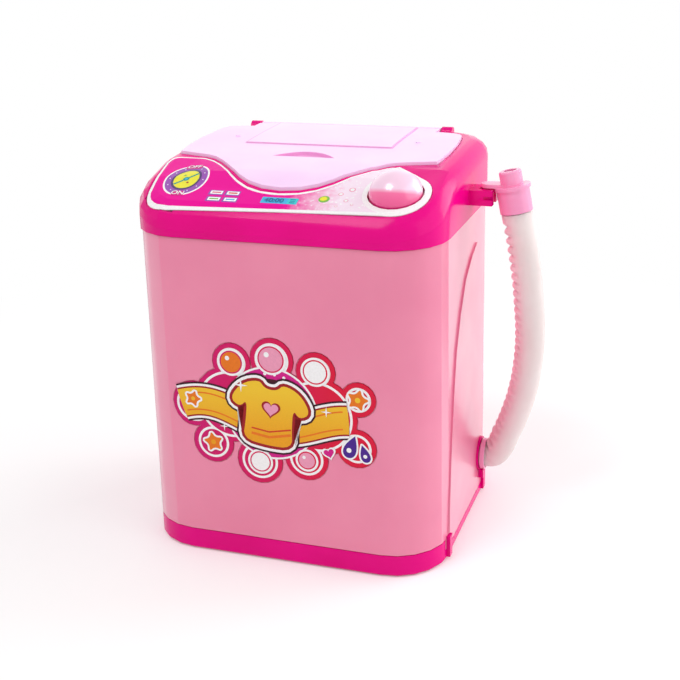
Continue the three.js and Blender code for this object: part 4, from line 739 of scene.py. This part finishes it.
# %% The solid's lower half, joined on under the dome
button_lower = copy_of(nodes["power_button"])
bpy.ops.object.parent_clear(type="CLEAR_KEEP_TRANSFORM")
start_editing(button_lower)
bpy.ops.mesh.remove_doubles(threshold=0.002 * MM)
panel_normal = panel_turn.to_3x3() @ Vector((0, 0, 1))
under_skirt = button_centre - panel_normal * (skirt_depth + 0.1 * MM)
bpy.ops.mesh.bisect(plane_co=under_skirt, plane_no=panel_normal, use_fill=True, clear_outer=True)
stop_editing()
only(dome, button_lower)
bpy.ops.object.join()
smooth(dome, 35)
stand_for(dome, "power_button", button_pink, "light_pink")
print("dome faces", len(dome.data.polygons))

# %% [markdown]
# ## Screws
#
# The heads under the base are pan heads with a cross recess. One is modelled, its cross is
# cut with a boolean, and the others are copies of it.

# %% One screw, then its copies
thread_pitch = 0.9 * MM


def cross_screw(name, head_radius, head_height, shank_radius, length):
    rings = [(head_radius * 0.72, 0), (head_radius * 0.93, head_height * 0.18),
             (head_radius, head_height * 0.5), (head_radius, head_height),
             (shank_radius, head_height + 0.01 * MM)]
    threads = int(length / thread_pitch)
    for turn_number in range(threads):
        start = head_height + 0.02 * MM + turn_number / threads * (length * 0.94)
        rings += [(shank_radius, start + 0.15 * MM), (shank_radius * 0.82, start + 0.5 * MM)]
    rings += [(shank_radius * 0.8, head_height + length * 0.97),
              (shank_radius * 0.25, head_height + length)]
    screw = draw_up(name, rings, 28)
    for angle in (0, 90):
        bpy.ops.object.select_all(action="DESELECT")
        bpy.ops.mesh.primitive_cube_add(size=1, location=(0, 0, 0))
        slot_cutter = bpy.context.object
        slot_cutter.scale = (head_radius * 1.1, head_radius * 0.26, head_height)
        slot_cutter.rotation_euler = (0, 0, math.radians(angle))
        settle(slot_cutter)
        apply_modifier(screw, "BOOLEAN", operation="DIFFERENCE", object=slot_cutter, solver="EXACT")
        remove(slot_cutter)
    smooth(screw, 32)
    return screw


def screw_for(node, template):
    """A copy of the template, stood on the solid's own place with its head down."""
    low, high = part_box(node)
    screw = copy_of(template)
    screw.name = node.replace("screw", "cross_screw")
    screw.location = ((low.x + high.x) / 2, (low.y + high.y) / 2, low.z)
    settle(screw)
    stand_for(screw, node, steel, "steel")


def pattern_screw(name, node, head_height, shank_radius):
    """A screw of the solid's size, to copy from."""
    low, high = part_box(node)
    head_radius = (high.x - low.x) / 2 * 0.98
    return cross_screw(name, head_radius, head_height, shank_radius, high.z - low.z - head_height)


base_template = pattern_screw("base_screw_pattern", "base_screw_1", 1.5 * MM, 1.2 * MM)
for number in range(1, 5):
    screw_for(f"base_screw_{number}", base_template)
door_template = pattern_screw("door_screw_pattern", "battery_door_screw", 0.6 * MM, 1.0 * MM)
screw_for("battery_door_screw", door_template)
remove(base_template, door_template)
print("screws made")

# %% [markdown]
# ## Printed shapes
#
# Each printed shape is a very thin patch of one ink, so its edges stay crisp at any
# distance. The designs are plain laundry motifs: bubbles, a shirt, stars and drops.

# %% Outlines to print, in millimetres
def circle(cx, cy, radius, count=56):
    turns = [2 * math.pi * k / count for k in range(count)]
    return [(cx + radius * math.cos(turn), cy + radius * math.sin(turn)) for turn in turns]


def star(cx, cy, outer, inner, tips, lean=0.0):
    points = []
    for k in range(2 * tips):
        reach, turn = (inner if k % 2 else outer), math.pi * k / tips + lean
        points.append((cx + reach * math.sin(turn), cy + reach * math.cos(turn)))
    return points


def leaned(points, cx, cy, lean):
    """Points round a middle, turned by the lean and put at their place."""
    return [(cx + x * math.cos(lean) - y * math.sin(lean),
             cy + x * math.sin(lean) + y * math.cos(lean)) for x, y in points]


def heart(cx, cy, size, lean=0.0):
    points = []
    for k in range(48):
        t = 2 * math.pi * k / 48
        y = 13 * math.cos(t) - 5 * math.cos(2 * t) - 2 * math.cos(3 * t) - math.cos(4 * t)
        points.append((size * math.sin(t) ** 3, size * y / 16))
    return leaned(points, cx, cy, lean)


def drop(cx, cy, size, lean=0.0):
    points = []
    for k in range(40):
        t = 2 * math.pi * k / 40
        points.append((size * 0.713 * math.sin(t) * math.sin(t / 2) ** 1.2, size * math.cos(t)))
    return leaned(points, cx, cy, lean)


def rounded_box(cx, cy, width, height, radius):
    points = []
    for sx, sy, start in ((1, 1, 0), (-1, 1, 90), (-1, -1, 180), (1, -1, 270)):
        for k in range(5):
            angle = math.radians(start + k * 22.5)
            points.append((cx + sx * (width / 2 - radius) + radius * math.cos(angle),
                           cy + sy * (height / 2 - radius) + radius * math.sin(angle)))
    return points


def soften(outline, rounds=2):
    """Corners cut round after round, so that they print round."""
    for _ in range(rounds):
        cut = []
        for (ax, ay), (bx, by) in zip(outline, outline[1:] + outline[:1]):
            cut += [(0.75 * ax + 0.25 * bx, 0.75 * ay + 0.25 * by),
                    (0.25 * ax + 0.75 * bx, 0.25 * ay + 0.75 * by)]
        outline = cut
    return outline


def signed_area(outline):
    following = outline[1:] + outline[:1]
    return sum(ax * by - bx * ay for (ax, ay), (bx, by) in zip(outline, following)) / 2


def grow(outline, margin):
    """The outline pushed out by a margin, for the borders round a motif."""
    if signed_area(outline) < 0:
        outline = outline[::-1]
    pushed = []
    for i, (x, y) in enumerate(outline):
        (px, py), (nx, ny) = outline[i - 1], outline[(i + 1) % len(outline)]
        dx, dy = nx - px, ny - py
        size = math.hypot(dx, dy) or 1.0
        pushed.append((x + dy / size * margin, y - dx / size * margin))
    return pushed


def stroke(points, width):
    """A line of one width along the points."""
    left, right = [], []
    for i, (x, y) in enumerate(points):
        (px, py), (nx, ny) = points[max(i - 1, 0)], points[min(i + 1, len(points) - 1)]
        size = math.hypot(nx - px, ny - py) or 1.0
        ox, oy = -(ny - py) / size * width / 2, (nx - px) / size * width / 2
        left.append((x + ox, y + oy))
        right.append((x - ox, y - oy))
    return left + right[::-1]


# %% A patch of ink, and a sheet of patches
layer_step = 0.02


def ink_patch(outline, colour, place):
    """One shape of ink: a filled circle whose points go to the outline, laid on a surface."""
    if signed_area(outline) < 0:
        outline = outline[::-1]
    patch = filled_circle(len(outline), 1)
    for vertex, (a, b) in zip(patch.data.vertices, outline):
        vertex.co = (a, b, 0)
    if patch.data.polygons[0].normal.z < 0:
        start_editing(patch)
        bpy.ops.mesh.flip_normals()
        stop_editing()
    for vertex in patch.data.vertices:
        vertex.co = place(vertex.co.x, vertex.co.y)
    patch.data.materials.append(colour)
    return patch


def ink_words(words, size, colour, place):
    """Words as flat shapes of ink, a little bolder than the plain letters."""
    bpy.ops.object.select_all(action="DESELECT")
    bpy.ops.object.text_add(location=(0, 0, 0))
    written = bpy.context.object
    written.data.body = words
    written.data.size = size
    written.data.offset = size * 0.02
    written.data.align_x = written.data.align_y = "CENTER"
    bpy.ops.object.convert(target="MESH")
    written = bpy.context.object
    for vertex in written.data.vertices:
        vertex.co = place(vertex.co.x, vertex.co.y)
    written.data.materials.clear()
    written.data.materials.append(colour)
    return written


def printed_sheet(name, patches, thicken=True):
    """All patches of a print as one piece. Flat ones get a hair of thickness."""
    only(*patches)
    bpy.ops.object.join()
    sheet = bpy.context.object
    sheet.name = sheet.data.name = name
    settle(sheet)
    if thicken:
        apply_modifier(sheet, "SOLIDIFY", thickness=layer_step * 0.7 * MM, offset=-1)
    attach(sheet, "machine")
    print(name, len(sheet.data.polygons), "faces,", len(sheet.data.materials), "inks")


# %% [markdown]
# ## The front print
#
# A bold scalloped badge of crimson holds the design, with a thin white line that follows
# its lobes. In the middle a golden shirt hangs over a dark porthole, on a waving golden
# ribbon, and bubbles, stars, a heart and drops fill the lobes round it.

# %% Where the front print lies
badge_x, badge_z = -2.6, 57.5
badge_half_width, badge_half_height = 41.5, 28
front_lobes = [
    (badge_x + x * badge_half_width, badge_z + z * badge_half_height, r * badge_half_height)
    for x, z, r in (
        (0.00, 0.00, 0.62), (-0.36, 0.06, 0.50), (0.40, 0.02, 0.52), (-0.70, 0.02, 0.30),
        (-0.34, 0.62, 0.25), (0.02, 0.70, 0.28), (0.40, 0.60, 0.25), (0.76, 0.30, 0.22),
        (0.74, -0.34, 0.25), (0.30, -0.56, 0.28), (-0.12, -0.66, 0.30), (-0.54, -0.48, 0.27),
    )
]
foot_front, wall_lean, film_lift, patch_step = 47.8, 0.9 / 118, 0.2, 0.0006
front_patches = []
print("front lobes", len(front_lobes))


def front(outline, colour, layer):
    """A patch on the casing's leaning front wall, one hair higher than the patch before."""
    lift = film_lift + layer * layer_step + (len(front_patches) + 1) * patch_step

    def place(x, z):
        return Vector((x, wall_lean * z - foot_front - lift, z)) * MM

    front_patches.append(ink_patch(outline, colour, place))


# %% Badge, porthole and ribbon
for margin, colour, layer in ((1.7, white_ink, 1), (2.6, crimson, 2)):
    for cx, cz, r in front_lobes:
        front(circle(cx, cz, r - margin), colour, layer)
front(circle(badge_x, badge_z, 17.2), white_ink, 3)
front(circle(badge_x, badge_z, 16.5), magenta, 4)
for dot_x, dot_z in circle(badge_x, badge_z, 14.6, 26):
    front(circle(dot_x, dot_z, 0.55, 16), white_ink, 5)
front(circle(badge_x, badge_z, 12.8), maroon, 5)


def ribbon_point(share):
    return -36.5 + share * 62, 56.2 + 3.4 * math.sin(share * 7.2 + 0.5) - share * 1.5


ribbon_points = [ribbon_point(k / 60) for k in range(61)]
for width, colour, layer in ((14.2, black_line, 6), (12.9, white_ink, 7),
                             (11.2, dark_red, 8), (10.0, golden, 9)):
    front(soften(stroke(ribbon_points, width), 1), colour, layer)
for side in (3.2, -3.2):
    front(stroke([(x, z + side) for x, z in ribbon_points[2:-2]], 0.55), orange, 10)
print("front patches", len(front_patches))

# %% Shirt on the ribbon
shirt_lean = math.radians(-6)
shirt_half = [(0, 7.6), (2.3, 8.1), (4.0, 10.2), (9.6, 8.2), (13.4, 2.4), (9.9, -0.1), (7.6, 2.8),
              (7.6, -4.0), (8.2, -10.4), (0, -11.2)]
shirt_outline = shirt_half + [(-x, y) for x, y in shirt_half[-2:0:-1]]
shirt = soften(leaned([(1.12 * x, 1.12 * y) for x, y in shirt_outline], -3.2, 57.8, shirt_lean))
for margin, colour, layer in ((2.8, black_line, 11), (2.1, white_ink, 12), (1.1, dark_red, 13)):
    front(grow(shirt, margin), colour, layer)
front(shirt, golden, 14)
front(stroke([(-10.2, 49.6), (-3.6, 48.6), (4.4, 50.2)], 1.0), orange, 15)
front(stroke([(-10.1, 51.6), (-3.6, 50.6), (4.5, 52.2)], 0.6), orange_red, 15)
front(heart(badge_x, 59.2, 3.5, shirt_lean), dark_red, 15)
front(heart(badge_x, 59.2, 2.7, shirt_lean), rose, 16)
print("front patches", len(front_patches))

# %% Bubbles, stars, heart and drops
for cx, cz, radius, inner in ((-16.8, 75.0, 3.7, orange), (-2.0, 77.4, 4.3, rose),
                              (13.9, 74.4, 3.9, white_ink), (-7.4, 38.8, 3.4, white_ink),
                              (10.0, 41.4, 2.9, rose)):
    front(circle(cx, cz, radius + 1.3), white_ink, 6)
    front(circle(cx, cz, radius + 0.5), crimson, 7)
    front(circle(cx, cz, radius), inner, 8)
    front(circle(cx - radius * 0.35, cz + radius * 0.38, radius * 0.22, 20), white_ink, 9)
for cx, cz, size, lean in ((28.8, 65.9, 4.4, 0.25), (-25.0, 44.2, 4.2, -0.2),
                           (-31.9, 60.0, 3.4, 0.3)):
    outline = soften(star(cx, cz, size, size * 0.46, 5, lean))
    front(grow(outline, 0.7), white_ink, 10)
    front(outline, orange, 11)
    front(circle(cx, cz, size * 0.22, 20), golden, 12)
for outline, shine, layer in ((drop(26.2, 48.6, 4.4, -0.35), (25.4, 47.2, 0.9), 6),
                              (drop(31.0, 46.6, 3.3, 0.3), (31.2, 45.6, 0.7), 9)):
    front(grow(outline, 0.6), white_ink, layer)
    front(outline, purple, layer + 1)
    front(circle(*shine, 20), white_ink, layer + 2)
front(heart(18.2, 45.2, 2.6, 0.3), white_ink, 6)
front(heart(18.2, 45.2, 1.9, 0.3), magenta, 7)
for cx, cz, size in ((-13.4, 67.0, 2.6), (17.6, 60.4, 2.0), (-20.4, 50.8, 1.7)):
    front(star(cx, cz, size, size * 0.2, 4), white_ink, 17)
printed_sheet("front_print", front_patches)

# %% [markdown]
# ## The panel print
#
# The film runs along the lid's curve and round the button. It has a white rim and a hot
# pink field that fades to a pale sparkle by the button, with a dial, four small keys and a
# clock. It bends over the panel's rounded front, so each patch is cut from a copy of the
# film itself and follows every bend of it.

# %% Film outline
film_left, film_bottom, lid_strip = 51.0, -44.4, 2.0
lid_end_y, lid_deep_y, lid_half_width, lid_middle = -11.0, -32.3, 36.0, -2.0
corner_lean, corner_share = 0.04 * film_left, 0.29 * film_left
button_arc_start, button_arc, button_arc_steps = -107, -183, 29
film_rim, button_gap = 0.95, 11.1


def curve_points(a, b, c, d, count=22):
    points = []
    for k in range(1, count + 1):
        t = k / count
        s = 1 - t
        points.append(tuple(s**3 * p + 3 * s * s * t * q + 3 * s * t * t * r + t**3 * w
                            for p, q, r, w in zip(a, b, c, d)))
    return points


def bent_corner(a, b, c):
    return [tuple((1 - t) ** 2 * p + 2 * t * (1 - t) * q + t * t * r for p, q, r in zip(a, b, c))
            for t in (k / 8 for k in range(1, 9))]


def film_field(inset, button_clear):
    """The field inside the rim: round the button, along the lid and round the left end."""
    bottom, left, lift = film_bottom + inset, -film_left + inset, lid_strip + inset
    end_y, deep_y = lid_end_y - lift, lid_deep_y - lift
    shoulder = end_y + (lid_deep_y - lid_end_y) * 0.14
    points = [(left + corner_share, bottom)]
    for k in range(button_arc_steps + 1):
        angle = math.radians(button_arc_start + k / button_arc_steps * button_arc)
        points.append((button_x + button_clear * math.cos(angle),
                       button_y + button_clear * math.sin(angle)))

    def lid_place(share, y):
        return lid_middle + share * lid_half_width, y

    right = [lid_place(1, end_y), lid_place(0.67, shoulder), lid_place(0.56, deep_y)]
    deep = lid_place(0, deep_y)
    left_side = [lid_place(-0.56, deep_y), lid_place(-0.67, shoulder), lid_place(-1, end_y)]
    points.append(right[0])
    points += curve_points(*right, deep) + curve_points(deep, *left_side)
    corner = (left + corner_lean * 2, end_y)
    points.append(corner)
    points += bent_corner(corner, (left, end_y), (left, end_y - corner_lean * 2))
    lower = (left + corner_lean, bottom + corner_lean * 4)
    points.append(lower)
    points += bent_corner(lower, (left + corner_lean, bottom), (left + corner_share, bottom))
    return points[:-1]


field_outline = film_field(film_rim, button_gap)
print("field outline", len(field_outline), "points")

# %% Patches that follow the film
film_mesh = nodes["panel_sticker"].data
film_tree = BVHTree.FromPolygons([v.co.copy() for v in film_mesh.vertices],
                                 [tuple(p.vertices) for p in film_mesh.polygons])
film_copy = copy_of(nodes["panel_sticker"])
bpy.ops.object.parent_clear(type="CLEAR_KEEP_TRANSFORM")
start_editing(film_copy)
bpy.ops.mesh.remove_doubles(threshold=0.002 * MM)
stop_editing()
film_copy.data.materials.clear()
under_film, column, panel_patch_step, ray_start = 112, 40, 0.0005, 300
panel_patches = []
print("film faces", len(film_mesh.polygons))


def on_panel(layer, cx, cy):
    """Local millimetres round a place on the panel, dropped onto the film."""
    def place(a, b):
        x, y = (cx + a) * MM, (cy + b * math.cos(panel_slope)) * MM
        hit = film_tree.ray_cast(Vector((x, y, ray_start * MM)), Vector((0, 0, -1)))[0]
        return Vector((x, y, hit.z + layer * layer_step * MM))

    return place


def film_patch(outline, colour, layer):
    """A column of the outline's shape, cut by a copy of the film that stands a hair higher."""
    patch = ink_patch(outline, colour, lambda x, y: Vector((x, y, under_film)) * MM)
    start_editing(patch)
    bpy.ops.mesh.extrude_region_move(TRANSFORM_OT_translate={"value": (0, 0, column * MM)})
    face_outwards()
    lift = layer * layer_step + (len(panel_patches) + 1) * panel_patch_step
    film_copy.location = (0, 0, lift * MM)
    bpy.context.view_layer.update()
    apply_modifier(patch, "BOOLEAN", operation="INTERSECT", object=film_copy, solver="EXACT")
    panel_patches.append(patch)


# %% Field ink, fading to a pale sparkle
field_ink, shader, place = blank_material("panel_field_ink")
shifted = calculate("MULTIPLY_ADD", noise(place, 420, 4), 0.016, axes(place)[X])
fade = ranged(shifted, 0, 1, 0.010, 0.028)
tone = mixed_colour(fade, linear("#F00A9A"), linear("#FBE6F5"))
fleck = ranged(noise(place, 900, 3), 0, 1, 0.60, 0.68)
fleck = calculate("MULTIPLY", fleck, fade)
print_with(shader, place, mixed_colour(fleck, tone, (1, 1, 1, 1)), shine=0.05)
film_patch(field_outline, field_ink, 1)


def panel(outline, colour, layer, cx, cy):
    """A patch drawn round a place, foreshortened as the sloping panel needs it."""
    film_patch([(cx + a, cy + b * math.cos(panel_slope)) for a, b in outline], colour, layer)


# %% Dial
dial = (-38.0, -29.1)
panel_words = []


def tall(outline):
    return [(x * 0.89, y * 1.12) for x, y in outline]


for radius, colour, layer in ((8.9, white_ink, 2), (8.2, dial_purple, 3),
                              (5.9, dial_dark, 4), (5.0, dial_yellow, 5)):
    panel(tall(circle(0, 0, radius, 72)), colour, layer, *dial)
for words, cx, cy, width in (("OFF", -38.3, -21.0, 6.0), ("ON", -37.7, -37.2, 4.6)):
    panel(rounded_box(0, 0, width, 2.9, 0.9), magenta, 6, cx, cy)
    panel_words.append(ink_words(words, 3.0, white_ink, on_panel(11, cx, cy)))
panel(stroke([(-3.4, -3.4), (3.4, 3.4)], 0.8), teal, 6, *dial)
panel(circle(0, 0, 1.15, 32), teal, 7, *dial)
panel(circle(0, 0, 0.5, 24), sky, 8, *dial)
panel(circle(1.3, -2.1, 0.45, 16), dark_red, 6, *dial)
panel(star(-1.3, 2.2, 0.7, 0.4, 3), green, 6, *dial)
for dot_x, dot_y in circle(0, 0, 7.0, 12):
    if abs(dot_y) < 6.5:
        panel(tall(circle(dot_x, dot_y, 0.22, 12)), white_ink, 6, *dial)
print("panel patches", len(panel_patches))

# %% Keys, clock and small lamp
for cx, cy, bar in ((-23.8, -35.6, red_bar), (-17.8, -35.6, orange_red),
                    (-23.4, -39.2, green), (-17.4, -39.2, sky)):
    panel(rounded_box(-0.1, -0.1, 5.4, 2.9, 0.3), dial_purple, 2, cx, cy)
    panel(rounded_box(0, 0, 4.4, 1.9, 0.2), white_ink, 3, cx, cy)
    panel(rounded_box(0, 0, 3.2, 0.65, 0.1), bar, 4, cx, cy)
clock = (-0.1, -38.3)
panel(rounded_box(0, 0, 12.8, 3.5, 0.2), sky, 2, *clock)
panel(rounded_box(4.6, 0, 3.4, 3.3, 0.1), aqua, 3, *clock)
panel_words.append(ink_words("40:00", 3.1, deep_sky, on_panel(9, -2.0, -38.4)))
for k in range(3):
    panel(rounded_box(4.6, 0.9 - 0.9 * k, 1.9, 0.3, 0.08), deep_sky, 5, *clock)
panel(circle(0, 0, 1.9, 32), green, 2, 14.8, -36.2)
panel(circle(-0.2, 0.2, 1.2, 24), dial_yellow, 3, 14.8, -36.2)
for cx, cy, size in ((19.6, -33.0, 0.9), (22.8, -30.4, 1.1), (22.4, -36.4, 0.8),
                     (20.0, -39.6, 0.5), (25.0, -38.4, 0.5)):
    panel(circle(0, 0, size, 24), rose, 2, cx, cy)
    panel(circle(0, 0, size * 0.7, 24), white_ink, 3, cx, cy)
printed_sheet("panel_print", panel_patches, thicken=False)
printed_sheet("panel_words", panel_words)
remove(film_copy)

# %% [markdown]
# ## Light, floor and backdrop
#
# The toy was photographed in plain soft light on white. The world gives even light, the
# lamps give shape, and the white behind is only what camera and reflections see.

# %% World
world = bpy.data.worlds.new("soft_room")
bpy.context.scene.world = world
world.use_nodes = True
world_tree = world.node_tree
world_tree.nodes.clear()


def plain_white(strength):
    node = world_tree.nodes.new("ShaderNodeBackground")
    return fill(node, {"Color": (1, 1, 1, 1), "Strength": strength})["Background"]


def seen_directly(tree):
    """1 for what the camera, a mirror or clear plastic sees, and 0 for lighting."""
    ray = tree.nodes.new("ShaderNodeLightPath").outputs
    seen = calculate("MAXIMUM", ray["Is Camera Ray"], ray["Is Glossy Ray"])
    return calculate("MAXIMUM", seen, ray["Is Transmission Ray"])


def mixed_shader(factor, first, second):
    return beside(factor, "ShaderNodeMixShader", {0: factor, 1: first, 2: second})[0]


world_out = world_tree.nodes.new("ShaderNodeOutputWorld")
room, white = plain_white(0.55), plain_white(1.0)
fill(world_out, {"Surface": mixed_shader(seen_directly(world_tree), room, white)})
print("world nodes", len(world_tree.nodes))

# %% Lamps
for name, place, size, power in (
    ("key_lamp", (-0.3, -0.55, 1.05), 0.42, 4.0),
    ("side_lamp", (0.95, 0.05, 0.4), 1.3, 5.2),
    ("rim_lamp", (0.8, 0.7, 0.5), 0.7, 4.8),
    ("back_lamp", (-0.5, 0.9, 0.4), 1.2, 1.3),
):
    bpy.ops.object.light_add(type="AREA", location=place)
    lamp = bpy.context.object
    lamp.name = name
    lamp.data.size = size
    lamp.data.energy = power
    aim = camera_target - Vector(place)
    lamp.rotation_euler = aim.to_track_quat("-Z", "Y").to_euler()
    print(name, "size", size, "power", power)

# %% Floor
floor_size, floor_gap = 6, 0.2 * MM
fade_start, fade_end = 0.11, 0.34
bpy.ops.mesh.primitive_plane_add(size=floor_size, location=(0, 0, -floor_gap))
floor = bpy.context.object
floor.name = "pale_floor"
floor_material, shader, place = blank_material("pale_floor_card")
floor_tree = floor_material.node_tree
seen = seen_directly(floor_tree)
fill(shader, {
    "Base Color": mixed_colour(noise(place, 3), (0.84, 0.84, 0.84, 1), (0.86, 0.86, 0.86, 1)),
    "Roughness": 0.9,
    "Specular IOR Level": 0.0,
    "Emission Color": (1, 1, 1, 1),
    "Emission Strength": calculate("MULTIPLY", seen, 0.2),
})
# Far from the toy the floor is plain white to the eye, so that it has no horizon
span = beside(place, "ShaderNodeVectorMath", {0: place}, operation="LENGTH")["Value"]
far = ranged(span, 0, 1, fade_start, fade_end)
plain = beside(place, "ShaderNodeEmission", {})["Emission"]
faded = mixed_shader(calculate("MULTIPLY", seen, far), shader.outputs["BSDF"], plain)
fill(floor_tree.nodes["Material Output"], {"Surface": faded})
floor.data.materials.append(floor_material)
print("floor", floor_size, "m wide")
